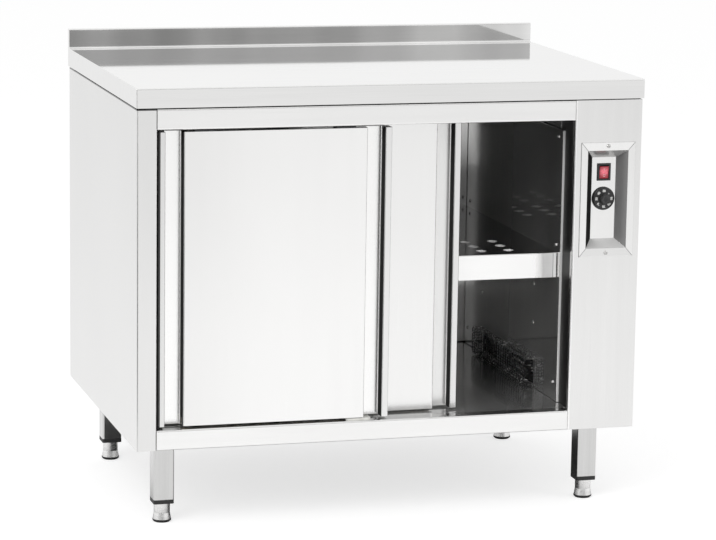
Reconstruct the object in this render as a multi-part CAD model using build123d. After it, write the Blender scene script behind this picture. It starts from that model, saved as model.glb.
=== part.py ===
from build123d import *
import math
import os

# Plate warmer cabinet: a stainless worktop on a heated cupboard with two sliding doors.
# Millimetres. X runs to the right, Y to the back and Z up, and the doors are at the front (-Y).
# The origin is on the floor, below the middle of the worktop.

# ---------------------------------------------------------------- worktop
worktop_width = 1000.0
worktop_depth = 700.0
worktop_height = 850.0
apron_height = 37.0
apron_return = 12.0
upstand_height = 40.0
upstand_thickness = 15.0
upstand_foot_radius = 4.0
worktop_edge_radius = 2.5
overhang_side = 1.5
overhang_front = 4.5
overhang_rear = 5.0
worktop_gap = 2.5            # shadow gap between the apron and the body
stiffener_crown = 50.0
stiffener_foot = 15.0
stiffener_count = 3
stiffener_pitch = 200.0

# ---------------------------------------------------------------- sheet metal
sheet = 1.5
bend_radius = 3.0            # outside radius of a fold
seam = 0.3                   # gap between two pieces that meet edge to edge
pan_clearance = 1.8          # edge of the base pan to the walls round it, clear of their folds
seat_flange = 18.0           # inward flange round the top and the bottom of the body
rear_flange = 20.0

# ---------------------------------------------------------------- front frame
body_bottom = 161.0
stile_width = 38.5
column_width = 137.0
top_rail_height = 39.0
bottom_rail_height = 38.5
jamb_depth = 11.0
rail_flange = 20.0
sill_depth = 30.0

# ---------------------------------------------------------------- oven
wall_left = 34.0             # thickness of the left wall, from its outer face to the oven
wall_rear = 15.0
partition_setback = 6.5      # partition behind the jamb of the control column
liner_flange = 15.0
insulation_relief = (20.0, 25.0)  # corner behind the jamb that the insulation leaves free
ceiling_drop = 20.5          # top of the body to the oven ceiling
ceiling_flange_clearance = 3.0
duct_depth = 5.0
duct_front_setback = 73.5    # from the frame face to the front edge of the duct panel
duct_head_gap = 48.0         # oven ceiling to the top of the duct panel
duct_margin = 2.0
duct_screw_inset = 24.0      # duct panel edge to a screw, along Y
duct_screw_rise = 37.0       # oven floor to the lowest screw
duct_screw_drop = 14.0       # duct panel top to the highest screw
duct_screw_over_shelf = 14.0
duct_screw_reach = 4.0       # screw tip behind the partition face

# ---------------------------------------------------------------- sliding doors
door_width = 453.0
door_thickness = 30.0
door_setback = 12.0          # front door behind the face of the frame
door_pitch = 44.0            # front door face to rear door face
door_floor_gap = 4.0
door_head_gap = 6.0
grip_lip = 13.5
grip_channel = 35.0
grip_depth = 24.0
door_bend = 2.5
door_hem = 12.0
door_panel_clearance = 1.3   # edge of the inner panel to the skin round it
front_door_inset = 5.0       # jamb to door edge, as the front door stands
rear_door_shift = 210.2      # how far the rear door stands open
door_stop_gap = 1.5          # door edge to jamb at either end of the travel

# ---------------------------------------------------------------- door running gear
track_wall = 2.0
track_drop = 32.0
track_front = 6.5            # front web before the face of its door
ledge_reach = 14.2
bead_radius = 2.0
roller_radius = 11.0
roller_width = 7.0
roller_play = 0.3
groove_clearance = 0.3
groove_depth = 1.7           # how far the bead reaches into the rim of the roller
stud_radius = 3.0
stud_head_radius = 4.5
stud_head = 1.5
stud_collar = 2.0            # roller to the hanger plate
shaft_clearance = 0.05
hanger_inset = 90.0          # door edge to roller stud
hanger_width = 30.0
hanger_plate = 3.0
hanger_shoulder = 8.5        # top of the plate above the stud
hanger_corner = 6.0
hanger_foot = (40.0, 24.0, 2.5)
hanger_offset = 11.0         # door face to the front of the hanger plate
stop_length = 20.0
stop_height = 17.0
stop_lap = 4.0               # stop past the back of the hanger plate
guide_pin_radius = 3.4
guide_pin_height = 12.0
guide_plate = (50.0, 72.0, 2.5)
guide_offset = -11.0         # off the middle of the opening, so a closed door hides its pin
guide_slot_width = 8.0
guide_slot_depth = 14.0
guide_slot_end = 36.0

# ---------------------------------------------------------------- shelf
shelf_rise = 299.5           # oven floor to the top of the shelf
shelf_lip = 50.0
shelf_side_flange = 20.0
shelf_lip_return = 14.0
shelf_front_setback = 89.5
shelf_gap = 0.4
hole_radius = 9.5
hole_pitch_x = 56.0
hole_pitch_y = 51.5
hole_rows = 3
cluster_inset_x = 143.6      # shelf end to the middle of a hole cluster
cluster_inset_y = 92.5
peg_radius = 4.0
peg_length = 13.0
peg_shank_radius = 2.9
peg_inset_front = 136.0
peg_inset_rear = 121.6
peg_play = 0.2
spare_peg_rises = (133.0, 212.5)  # oven floor to the empty holes for other shelf heights

# ---------------------------------------------------------------- warm air blower
outlet_length = 330.0
outlet_inset = 130.0         # rear end of the outlet to the back of the oven
outlet_rise = 6.5            # oven floor to the bottom of the outlet
outlet_height = 48.0
blower_inset = 10.0          # front end of the outlet to the front end plate
guard_margin = 5.0
guard_depth = 22.0
guard_wire = 1.8
guard_sheet = 1.6
guard_hoop_pitch = 36.0      # between the wires round the cage
guard_strand_pitch = 6.0     # between the wires along it
guard_corner = 5.0
guard_edge = 4.0             # solid margin round the meshed faces
wheel_radius = 28.0
wheel_length = 236.0
wheel_offset = (57.0, 34.0)  # partition face and outlet bottom to the wheel axis
wheel_bore = 19.0
blade_count = 20
blade_sheet = 1.0
blade_bow = 2.0
blade_edge = 0.5             # blade tips inside the rim of the discs
wheel_disc = 2.0
wheel_hub_radius = 7.0
wheel_end_gap = 2.0
fan_shaft_radius = 3.0
scroll_radius = 37.0
scroll_sweep = 150.0
tongue_reach = 26.5
tongue_lean = 8.0
tongue_height = 30.0
housing_flange = 6.0
end_plate_size = (97.0, 84.0)
end_plate_corner = 20.0
bearing_length = 6.0
motor_size = (50.0, 22.0, 50.0)
motor_post = 6.0
motor_inset = 7.0
motor_corner = 3.5
motor_bridge = 4.0
motor_coil = 14.0
element_radius = 4.0
element_pitch = 22.0
element_offset = 16.5
element_end_gap = 20.0       # front end plate to the bend of the heater
element_tail = 14.0
element_clearance = 0.3

# ---------------------------------------------------------------- control pocket
pocket_drop = 194.5          # top of the body to the middle of the pocket
pocket_frame = (110.0, 224.0)
pocket_mouth = (83.0, 192.0)
pocket_floor = (49.0, 160.0)
pocket_depth = 22.0
pocket_proud = 1.8
pocket_rim = 0.6             # height of the mouth over the face of the column
pocket_wall = 2.0
pocket_frame_edge = 1.0
pocket_screw_pitch = 209.0
screw_head_radius = 3.5
screw_head_height = 2.2
screw_radius = 2.0
screw_clearance = 0.1
cutout_clearance = 0.5

# ---------------------------------------------------------------- switch and thermostat
switch_height = 51.0         # middle of the switch above the middle of the pocket
switch_bezel = (28.0, 34.0, 2.5)
switch_body = (22.0, 29.0, 22.0)
switch_well = (19.2, 26.6, 12.0)
rocker_size = (18.6, 24.4)
rocker_rise = 6.0
rocker_dip = 4.2
rocker_depth = 5.0
rocker_root = 14.0
rocker_tilt = 8.0
rocker_pin_radius = 1.5
rocker_pin_length = 1.2
switch_gap = 0.25
knob_radius = 22.7
knob_skirt = 4.0
knob_grip_radius = 10.8
knob_grip_height = 11.0
knob_bar = 6.5
knob_gap = 1.5
knob_drop = 1.0              # knob below the middle of the pocket
thermostat_size = (40.0, 18.0, 40.0)
thermostat_shaft_radius = 3.0
thermostat_bush_radius = 6.0
shaft_hole_radius = 3.6

# ---------------------------------------------------------------- supply entry
gland_radius = 9.0
gland_length = 18.0
gland_bore = 3.5
gland_body_radius = 8.0
gland_inset = (88.5, 37.0)   # right wall and rear wall to the gland
terminal_size = (50.0, 30.0, 22.0)
terminal_ways = 4
terminal_inset = 165.0       # rear wall to the front of the terminal block
terminal_setback = 4.0       # partition flange to the terminal block
vent_slot = (60.0, 5.0)
vent_rows = 8
vent_pitch = 14.0
vent_drop = 16.0             # middle of the pocket to the lowest slot

# ---------------------------------------------------------------- legs and feet
leg_side = 40.0
leg_wall = 1.5
leg_corner = 4.0
leg_inset_side = 68.5        # outer face of the body to the middle of the leg
leg_inset_end = 89.5
leg_bottom = 46.0
leg_clearance = 0.3
socket_wall = 2.0
socket_height = 25.0
cap_height = 8.0
cap_plug = 18.0
foot_gap = 0.3
foot_top_radius = 15.5
foot_bottom_radius = 17.6
foot_pad_height = 5.5
foot_stem_radius = 5.0
foot_stem_length = 58.0

# ---------------------------------------------------------------- places worked out from the sizes above
body_left = -worktop_width / 2 + overhang_side
body_right = worktop_width / 2 - overhang_side
body_front = -worktop_depth / 2 + overhang_front
body_rear = worktop_depth / 2 - overhang_rear
body_top = worktop_height - apron_height - worktop_gap

opening_left = body_left + stile_width
opening_right = body_right - column_width
opening_bottom = body_bottom + bottom_rail_height
opening_top = body_top - top_rail_height
column_middle = (opening_right + body_right) / 2

oven_left = body_left + wall_left
oven_rear = body_rear - wall_rear
oven_floor = opening_bottom
ceiling_height = body_top - ceiling_drop
duct_top = ceiling_height - duct_head_gap
partition_face = opening_right + partition_setback
oven_right = partition_face - duct_depth
duct_front = body_front + duct_front_setback
base_bottom = body_bottom + sheet
base_top = base_bottom + sheet

door_bottom = opening_bottom + door_floor_gap
door_top = opening_top - door_head_gap
door_height = door_top - door_bottom
front_lane = body_front + door_setback
rear_lane = front_lane + door_pitch
front_door_left = opening_left + front_door_inset
rear_door_left = opening_right - door_stop_gap - door_width - rear_door_shift

track_rear = rear_lane + door_pitch - track_front + track_wall
track_top = body_top - sheet
track_bottom = track_top - track_drop - track_wall
bead_centre = track_bottom + track_wall
roller_axis = bead_centre + bead_radius + groove_clearance + roller_radius - groove_depth
roller_offset = hanger_offset - stud_collar - roller_width / 2
guide_x = (opening_left + opening_right) / 2 + guide_offset

shelf_top = oven_floor + shelf_rise
shelf_left = oven_left + shelf_gap
shelf_right = oven_right - shelf_gap
shelf_front = body_front + shelf_front_setback
shelf_rear = oven_rear - shelf_gap
peg_height = shelf_top - shelf_side_flange - peg_radius - peg_play

outlet_rear = oven_rear - outlet_inset
outlet_front = outlet_rear - outlet_length
outlet_bottom = oven_floor + outlet_rise
outlet_top = outlet_bottom + outlet_height
wheel_x = partition_face + wheel_offset[0]
wheel_z = outlet_bottom + wheel_offset[1]
housing_face = partition_face + sheet
blower_front = outlet_front + blower_inset
blower_rear = blower_front + wheel_length + 2 * wheel_end_gap

pocket_height = body_top - pocket_drop
pocket_floor_y = body_front + pocket_depth
pocket_back_y = pocket_floor_y + pocket_wall
switch_z = pocket_height + switch_height
knob_z = pocket_height - knob_drop
gland_place = (body_right - gland_inset[0], body_rear - gland_inset[1])
leg_places = {
    "front_left": (body_left + leg_inset_side, body_front + leg_inset_end),
    "front_right": (body_right - leg_inset_side, body_front + leg_inset_end),
    "rear_left": (body_left + leg_inset_side, body_rear - leg_inset_end),
    "rear_right": (body_right - leg_inset_side, body_rear - leg_inset_end),
}

low = (Align.MIN, Align.MIN)
low_corner = (Align.MIN, Align.MIN, Align.MIN)
os.makedirs("parts", exist_ok=True)


# ---------------------------------------------------------------- helpers
def block(x_span, y_span, z_span):
    """Box between two limits on each axis."""
    spans = (x_span, y_span, z_span)
    size = [high - floor for floor, high in spans]
    corner = [floor for floor, high in spans]
    return Pos(*corner) * Box(*size, align=low_corner)


def folded_sheet(points, plane, span):
    """Bent sheet: points run along its outer line, and its thickness is on the left of them."""
    line = FilletPolyline(*points, radius=bend_radius)
    section = make_face(offset(line, amount=sheet, side=Side.LEFT))
    return extrude(plane.offset(span[0]) * section, amount=span[1] - span[0])


def rod(axis, place, radius, span):
    """Round bar along one axis: place gives its two other coordinates, span its two ends."""
    length = span[1] - span[0]
    bar = Cylinder(radius, length, align=(Align.CENTER, Align.CENTER, Align.MIN))
    if axis == "X":
        return Pos(span[0], place[0], place[1]) * Rot(0, 90, 0) * bar
    if axis == "Y":
        return Pos(place[0], span[0], place[1]) * Rot(-90, 0, 0) * bar
    return Pos(place[0], place[1], span[0]) * bar


def rectangle_at(size, y, x=column_middle, z=pocket_height):
    """Upright rectangle facing the front, for the tapered faces of the control pocket."""
    return Pos(x, y, z) * Rot(90, 0, 0) * Rectangle(*size)


def save(name, shape):
    export_step(shape, f"parts/{name}.step")


# ---------------------------------------------------------------- worktop
def worktop():
    """Folded worktop: apron on all sides with a return, and a hollow upstand along the back."""
    half_width = worktop_width / 2
    front = -worktop_depth / 2
    rear = worktop_depth / 2
    apron_bottom = worktop_height - apron_height
    upstand_top = worktop_height + upstand_height
    slab = block((-half_width, half_width), (front, rear), (apron_bottom, worktop_height))
    upstand = block((-half_width, half_width), (rear - upstand_thickness, rear), (apron_bottom, upstand_top))
    outside = slab + upstand
    foot_edge = outside.edges().filter_by(Axis.X).sort_by_distance((0, rear - upstand_thickness, worktop_height))[0]
    outside = fillet(foot_edge, upstand_foot_radius)
    sharp = outside.edges().filter_by(Axis.Z).group_by(Axis.Y)[0]
    sharp += outside.edges().filter_by(Axis.X).group_by(Axis.Z)[-1]
    sharp += outside.edges().filter_by(Axis.X).filter_by_position(Axis.Y, front, front + 0.1).group_by(Axis.Z)[-1]
    outside = fillet(sharp, worktop_edge_radius)
    inner = half_width - sheet
    hollow = block((-inner, inner), (front + sheet, rear - sheet), (apron_bottom + sheet, worktop_height - sheet))
    hollow += block(
        (-inner, inner),
        (rear - upstand_thickness + sheet, rear - sheet),
        (apron_bottom + sheet, upstand_top - sheet),
    )
    mouth_x = half_width - apron_return
    mouth_y = worktop_depth / 2 - apron_return
    mouth = block((-mouth_x, mouth_x), (-mouth_y, mouth_y), (apron_bottom - 1, apron_bottom + 2 * sheet))
    return outside - hollow - mouth


def worktop_stiffeners():
    """Hat sections along the worktop, which carry it on the side walls."""
    crown = worktop_height - sheet
    half = stiffener_crown / 2
    reach = worktop_width / 2 - apron_return - 0.5
    hats = []
    for number in range(stiffener_count):
        middle = (number - (stiffener_count - 1) / 2) * stiffener_pitch
        points = [
            (middle - half - stiffener_foot, body_top),
            (middle - half, body_top),
            (middle - half, crown - sheet),
            (middle + half, crown - sheet),
            (middle + half, body_top),
            (middle + half + stiffener_foot, body_top),
        ]
        hats.append(folded_sheet(points, Plane.YZ, (-reach, reach)))
    return Compound(hats)


# ---------------------------------------------------------------- outer panels
def side_flanges(x_span):
    """Inward flanges at the top and the bottom of a side panel."""
    y_span = (body_front + sheet, body_rear - sheet)
    top = block(x_span, y_span, (body_top - sheet, body_top))
    bottom = block(x_span, y_span, (body_bottom, body_bottom + sheet))
    return top + bottom


def left_side_panel():
    """Left wall, folded round the corner into the front post and its jamb."""
    points = [
        (body_left + rear_flange, body_rear),
        (body_left, body_rear),
        (body_left, body_front),
        (opening_left, body_front),
        (opening_left, body_front + jamb_depth),
    ]
    wall = folded_sheet(points, Plane.XY, (body_bottom, body_top))
    return wall + side_flanges((body_left + sheet / 2, body_left + sheet + seat_flange))


def right_side_panel():
    """Right wall, from behind the control column to the back."""
    points = [
        (body_right, body_front + rail_flange + seam),
        (body_right, body_rear),
        (body_right - rear_flange, body_rear),
    ]
    wall = folded_sheet(points, Plane.XY, (body_bottom, body_top))
    flanges = side_flanges((body_right - sheet - seat_flange, body_right - sheet / 2))
    clear = block((0, body_right), (body_front, body_front + rail_flange + seam), (0, worktop_height))
    return wall + (flanges - clear)


def rear_panel():
    """Outer back with flanges, and cooling slots behind the controls."""
    depth = wall_rear - 3 * sheet
    points = [
        (body_rear - depth, body_bottom),
        (body_rear, body_bottom),
        (body_rear, body_top),
        (body_rear - depth, body_top),
    ]
    half = body_right - rear_flange - seam
    panel = folded_sheet(points, Plane.YZ, (-half, half))
    slot = block((-vent_slot[0] / 2, vent_slot[0] / 2), (body_rear - 2 * sheet, body_rear + 1),
                 (-vent_slot[1] / 2, vent_slot[1] / 2))
    for row in range(vent_rows):
        panel -= Pos(column_middle, 0, pocket_height - vent_drop + row * vent_pitch) * slot
    return panel


def top_rail():
    points = [
        (body_front + rail_flange, body_top),
        (body_front, body_top),
        (body_front, opening_top),
        (body_front + jamb_depth, opening_top),
    ]
    return folded_sheet(points, Plane.YZ, (opening_left + seam, opening_right - seam))


def bottom_rail():
    points = [
        (body_front + sill_depth, opening_bottom),
        (body_front, opening_bottom),
        (body_front, body_bottom),
        (body_front + rail_flange, body_bottom),
    ]
    return folded_sheet(points, Plane.YZ, (opening_left + seam, opening_right - seam))


def control_column():
    """Front right panel with the cut-out for the control pocket."""
    points = [
        (opening_right, body_front + jamb_depth),
        (opening_right, body_front),
        (body_right, body_front),
        (body_right, body_front + rail_flange),
    ]
    column = folded_sheet(points, Plane.XY, (body_bottom, body_top))
    cutout = [side + 2 * (pocket_wall + cutout_clearance) for side in pocket_mouth]
    column -= extrude(rectangle_at(cutout, body_front + 5), amount=10, both=True)
    for z in (pocket_height - pocket_screw_pitch / 2, pocket_height + pocket_screw_pitch / 2):
        column -= rod("Y", (column_middle, z), screw_radius + screw_clearance, (body_front - 1, body_front + 3))
    return column


def base_pan():
    """Bottom sheet with a welded square socket for each leg and the hole for the cable gland."""
    edge = sheet + pan_clearance
    x_span = (body_left + edge, body_right - edge)
    pan = block(x_span, (body_front + jamb_depth + seam, body_rear - edge), (base_bottom, base_top))
    hole = leg_side / 2 + leg_clearance
    wall = hole + socket_wall
    for x, y in leg_places.values():
        pan += block((x - wall, x + wall), (y - wall, y + wall), (base_bottom, base_top + socket_height))
    for x, y in leg_places.values():
        pan -= block((x - hole, x + hole), (y - hole, y + hole), (base_bottom - 1, base_top + socket_height + 1))
    return pan - rod("Z", gland_place, gland_body_radius + screw_clearance, (base_bottom - 1, base_top + 1))


# ---------------------------------------------------------------- oven lining
def liner_floor():
    points = [
        (oven_rear - seam, oven_floor - liner_flange),
        (oven_rear - seam, oven_floor),
        (body_front + sill_depth + seam, oven_floor),
        (body_front + sill_depth + seam, oven_floor - liner_flange),
    ]
    return folded_sheet(points, Plane.YZ, (oven_left + seam, partition_face - seam))


def peg_places():
    return (shelf_front + peg_inset_front, shelf_rear - peg_inset_rear)


def peg_holes(x_span):
    """Holes of the pegs and the empty ones below them, through a wall of the oven."""
    heights = [peg_height] + [oven_floor + rise for rise in spare_peg_rises]
    return [rod("X", (y, z), peg_shank_radius + screw_clearance, x_span) for y in peg_places() for z in heights]


def liner_left():
    front = body_front + jamb_depth + 2 * sheet
    points = [(oven_left - liner_flange, front), (oven_left, front), (oven_left, oven_rear)]
    wall = folded_sheet(points, Plane.XY, (oven_floor, ceiling_height))
    return wall - peg_holes((oven_left - 2 * sheet, oven_left + 1))


def liner_back():
    flange_edge = oven_rear + liner_flange - 4
    points = [
        (flange_edge, ceiling_height),
        (oven_rear, ceiling_height),
        (oven_rear, oven_floor + seam),
        (flange_edge, oven_floor + seam),
    ]
    return folded_sheet(points, Plane.YZ, (oven_left + seam, partition_face - seam))


def liner_ceiling():
    """Oven ceiling with a flange down the partition and one up the back of the door track."""
    left = oven_left - sheet
    right = partition_face - seam
    front = track_rear + seam
    top = ceiling_height + sheet
    plate = block((left, right), (front, body_rear - sheet - seam), (ceiling_height, top))
    down = block((right - sheet, right), (front, oven_rear - seam), (duct_top + ceiling_flange_clearance, top))
    up = block((left, right), (front, front + sheet), (ceiling_height, track_top - sheet))
    return plate + down + up


def partition_wall():
    """Wall between the oven and the controls, open where the blower passes through."""
    front = body_front + jamb_depth + sheet
    rear = body_rear - sheet - 0.2
    points = [
        (partition_face + liner_flange, rear),
        (partition_face, rear),
        (partition_face, front),
        (partition_face + liner_flange, front),
    ]
    wall = folded_sheet(points, Plane.XY, (base_top, body_top - 2 * sheet))
    wall -= block((partition_face - 1, partition_face + 3), (outlet_front, outlet_rear), (outlet_bottom, outlet_top))
    for y, z in duct_screw_places():
        wall -= rod("X", (y, z), screw_radius + screw_clearance, (partition_face - 1, partition_face + 3))
    return wall


def duct_screw_places():
    rows = (oven_floor + duct_screw_rise, shelf_top + duct_screw_over_shelf, duct_top - duct_screw_drop)
    ends = (duct_front + duct_screw_inset, oven_rear - duct_margin - duct_screw_inset)
    return [(y, z) for y in ends for z in rows]


def duct_panel():
    """Shallow tray on the partition, with folded edges all round and the blower opening."""
    y_span = (duct_front, oven_rear - duct_margin)
    z_span = (oven_floor + duct_margin / 2, duct_top)
    tray = block((oven_right, partition_face), y_span, z_span)
    tray = fillet(tray.faces().sort_by(Axis.X)[0].edges(), sheet)
    tray -= block(
        (oven_right + sheet, partition_face + 1),
        (y_span[0] + sheet, y_span[1] - sheet),
        (z_span[0] + sheet, z_span[1] - sheet),
    )
    tray -= block((oven_right - 1, partition_face), (outlet_front, outlet_rear), (outlet_bottom, outlet_top))
    for y, z in duct_screw_places():
        tray -= rod("X", (y, z), screw_radius + screw_clearance, (oven_right - 1, oven_right + 3))
    return tray - peg_holes((oven_right - 1, oven_right + 2 * sheet))


def duct_panel_screws():
    screws = []
    for y, z in duct_screw_places():
        shank = rod("X", (y, z), screw_radius, (oven_right, partition_face + duct_screw_reach))
        head = rod("X", (y, z), screw_head_radius, (oven_right - screw_head_height, oven_right))
        screws.append(fillet(head.edges().group_by(Axis.X)[0], 1.2) + shank)
    return Compound(screws)


def insulation_left():
    return block(
        (body_left + sheet + seam, oven_left - sheet - seam),
        (body_front + jamb_depth + 4 * sheet + seam, body_rear - sheet - rear_flange / 2),
        (base_top, ceiling_height),
    ) - block((oven_left - insulation_relief[0], oven_left), (body_front, body_front + insulation_relief[1]),
              (0, worktop_height))


def insulation_base():
    """Board under the oven floor, let in round the two left leg sockets."""
    y_span = (body_front + sill_depth + seam + 2 * sheet, oven_rear - seam - 2 * sheet)
    board = block((oven_left + seam, partition_face - seam), y_span, (base_top, oven_floor - sheet))
    pocket = leg_side / 2 + leg_clearance + socket_wall + 1
    for place in ("front_left", "rear_left"):
        x, y = leg_places[place]
        board -= block((x - pocket, x + pocket), (y - pocket, y + pocket), (base_top - 1, base_top + socket_height + 2))
    return board


# ---------------------------------------------------------------- door track and guide
def door_track():
    """Double hanging track: each lane has a web, a ledge and a half-round bead that the rollers run on."""
    lanes = (front_lane, rear_lane)
    last_web = track_rear - track_wall
    height = track_top - track_bottom
    first_web = front_lane - track_front
    section = Pos(first_web, track_top - track_wall) * Rectangle(track_rear - first_web, track_wall, align=low)
    for lane in lanes:
        web = lane - track_front
        section += Pos(web, track_bottom) * Rectangle(track_wall, height, align=low)
        section += Pos(web, track_bottom) * Rectangle(track_wall + ledge_reach, track_wall, align=low)
        section += Pos(lane + roller_offset, bead_centre) * Circle(bead_radius)
    section += Pos(last_web, track_bottom) * Rectangle(track_wall, height, align=low)
    span = opening_right - opening_left - 2 * seam
    return extrude(Plane.YZ.offset(opening_left + seam) * section, amount=span)


def hanger_places(door_left):
    return (door_left + hanger_inset, door_left + door_width - hanger_inset)


def track_stops():
    """Rubber stops in both lanes, just beyond the hangers at either end of their travel."""
    reach = hanger_inset - hanger_width / 2
    left = opening_left + door_stop_gap + reach - roller_play
    right = opening_right - door_stop_gap - reach + roller_play
    stops = []
    for lane in (front_lane, rear_lane):
        y_span = (lane + hanger_offset - stud_collar, lane + hanger_offset + hanger_plate + stop_lap)
        z_span = (track_top - track_wall - stop_height, track_top - track_wall)
        stops.append(block((left - stop_length, left), y_span, z_span))
        stops.append(block((right, right + stop_length), y_span, z_span))
    return Compound(stops)


def door_guide():
    """Nylon plate on the sill, with a pin for the slot in the foot of each door."""
    length, depth, thickness = guide_plate
    middle = (front_lane + rear_lane + door_thickness) / 2
    plate = Pos(guide_x, middle, oven_floor) * Box(length, depth, thickness,
                                                    align=(Align.CENTER, Align.CENTER, Align.MIN))
    plate = fillet(plate.edges().filter_by(Axis.Z), 6)
    for lane in (front_lane, rear_lane):
        top = oven_floor + thickness + guide_pin_height
        pin = rod("Z", (guide_x, lane + door_thickness / 2), guide_pin_radius, (oven_floor + 1, top))
        plate += fillet(pin.edges().group_by(Axis.Z)[-1], 1.2)
    return plate


# ---------------------------------------------------------------- sliding doors
def door_plan():
    """Door seen from above: a slab with a grip channel near each edge of its face."""
    plan = Rectangle(door_width, door_thickness, align=low)
    channel = Rectangle(grip_channel, grip_depth, align=low)
    for x in (grip_lip, door_width - grip_lip - grip_channel):
        plan -= Pos(x, 0) * channel
    return fillet(plan.vertices(), door_bend)


def guide_slot():
    middle = door_thickness / 2
    return block(
        (guide_slot_end, door_width - guide_slot_end),
        (middle - guide_slot_width / 2, middle + guide_slot_width / 2),
        (-1, guide_slot_depth),
    )


def door_skin():
    """Outer skin: face, grip channels, edges, head and foot, hemmed round the back."""
    plan = door_plan()
    skin = extrude(plan, door_height)
    skin -= Pos(0, 0, sheet) * extrude(offset(plan, -sheet), door_height - 2 * sheet)
    skin -= block(
        (door_hem, door_width - door_hem),
        (door_thickness - 1.5 * sheet, door_thickness + 1),
        (door_hem, door_height - door_hem),
    )
    return skin - guide_slot()


def door_inner_panel():
    back = door_thickness - sheet
    edge = sheet + door_panel_clearance
    return block((edge, door_width - edge), (back - sheet, back), (edge, door_height - edge))


def door_core():
    side = grip_lip + grip_channel + 2 * sheet
    core = block((side, door_width - side), (sheet, door_thickness - 2 * sheet), (sheet, door_height - sheet))
    return core - guide_slot()


def door_hangers():
    """Bracket on the head of the door at either end, each with the stud of its roller."""
    foot_x, foot_y, foot_z = hanger_foot
    hangers = []
    for x in hanger_places(0.0):
        foot = block(
            (x - foot_x / 2, x + foot_x / 2),
            ((door_thickness - foot_y) / 2, (door_thickness + foot_y) / 2),
            (door_height, door_height + foot_z),
        )
        upright_top = roller_axis - door_bottom + hanger_shoulder
        upright = block(
            (x - hanger_width / 2, x + hanger_width / 2),
            (hanger_offset, hanger_offset + hanger_plate),
            (door_height, upright_top),
        )
        upright = fillet(upright.edges().filter_by(Axis.Y).group_by(Axis.Z)[-1], hanger_corner)
        axis = (x, roller_axis - door_bottom)
        shoulder = roller_offset + roller_width / 2 + roller_play
        head = roller_offset - roller_width / 2 - roller_play
        stud = rod("Y", axis, stud_head_radius, (shoulder, hanger_offset))
        stud += rod("Y", axis, stud_radius, (head - stud_head, hanger_offset))
        stud += rod("Y", axis, stud_head_radius, (head - stud_head, head))
        hangers.append(foot + upright + stud)
    return Compound(hangers)


def roller(x):
    """Grooved roller that runs on the bead of the track."""
    wheel = rod("Y", (0, 0), roller_radius, (-roller_width / 2, roller_width / 2))
    groove_centre = roller_axis - bead_centre
    wheel -= Rot(90, 0, 0) * Torus(groove_centre, bead_radius + groove_clearance)
    wheel -= rod("Y", (0, 0), stud_radius + shaft_clearance, (-roller_width, roller_width))
    return Pos(x, roller_offset, roller_axis - door_bottom) * wheel


def save_door(name, left, lane):
    place = Pos(left, lane, door_bottom)
    save(f"{name}_skin", place * door_skin())
    save(f"{name}_inner_panel", place * door_inner_panel())
    save(f"{name}_core", place * door_core())
    save(f"{name}_hangers", place * door_hangers())
    for side, x in zip(("left", "right"), hanger_places(0.0)):
        save(f"{name}_roller_{side}", place * roller(x))


# ---------------------------------------------------------------- shelf
def shelf():
    """Removable shelf: front lip, short flanges on its other sides and clusters of air holes."""
    z_span = (shelf_top - shelf_lip, shelf_top)
    body = block((shelf_left, shelf_right), (shelf_front, shelf_rear), z_span)
    top_front = body.edges().filter_by(Axis.X).group_by(Axis.Z)[-1].sort_by(Axis.Y)[0]
    body = fillet([top_front] + body.edges().filter_by(Axis.Z).group_by(Axis.Y)[0], 2.5)
    body -= block(
        (shelf_left + sheet, shelf_right - sheet),
        (shelf_front + sheet, shelf_rear - sheet),
        (z_span[0] + sheet, z_span[1] - sheet),
    )
    body -= block(
        (shelf_left + sheet, shelf_right - sheet),
        (shelf_front + shelf_lip_return, shelf_rear - sheet),
        (z_span[0] - 1, z_span[1] - sheet),
    )
    body -= block(
        (shelf_left - 1, shelf_right + 1),
        (shelf_front + shelf_lip_return, shelf_rear + 1),
        (z_span[0] - 1, shelf_top - shelf_side_flange),
    )
    for x in (shelf_left + cluster_inset_x, shelf_right - cluster_inset_x):
        for y in (shelf_front + cluster_inset_y, shelf_rear - cluster_inset_y):
            for spot in GridLocations(hole_pitch_x, hole_pitch_y, hole_rows, hole_rows):
                centre = Pos(x, y) * spot
                place = (centre.position.X, centre.position.Y)
                body -= rod("Z", place, hole_radius, (shelf_top - 2 * sheet, shelf_top + 1))
    return body


def shelf_pegs():
    pegs = []
    for y in peg_places():
        axis = (y, peg_height)
        left = rod("X", axis, peg_radius, (oven_left, oven_left + peg_length))
        left = fillet(left.edges().group_by(Axis.X)[-1], 1.5)
        pegs.append(left + rod("X", axis, peg_shank_radius, (oven_left - sheet, oven_left + 1)))
        right = rod("X", axis, peg_radius, (oven_right - peg_length, oven_right))
        right = fillet(right.edges().group_by(Axis.X)[0], 1.5)
        pegs.append(right + rod("X", axis, peg_shank_radius, (oven_right - 1, oven_right + sheet)))
    return Compound(pegs)


# ---------------------------------------------------------------- warm air blower
def window_centres(span, pitch):
    """Middles of the equal mesh windows that fill a span, and their spacing."""
    count = max(1, round((span[1] - span[0] - guard_wire) / pitch))
    step = (span[1] - span[0] - guard_wire) / count
    return [span[0] + guard_wire / 2 + step * (number + 0.5) for number in range(count)], step


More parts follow.
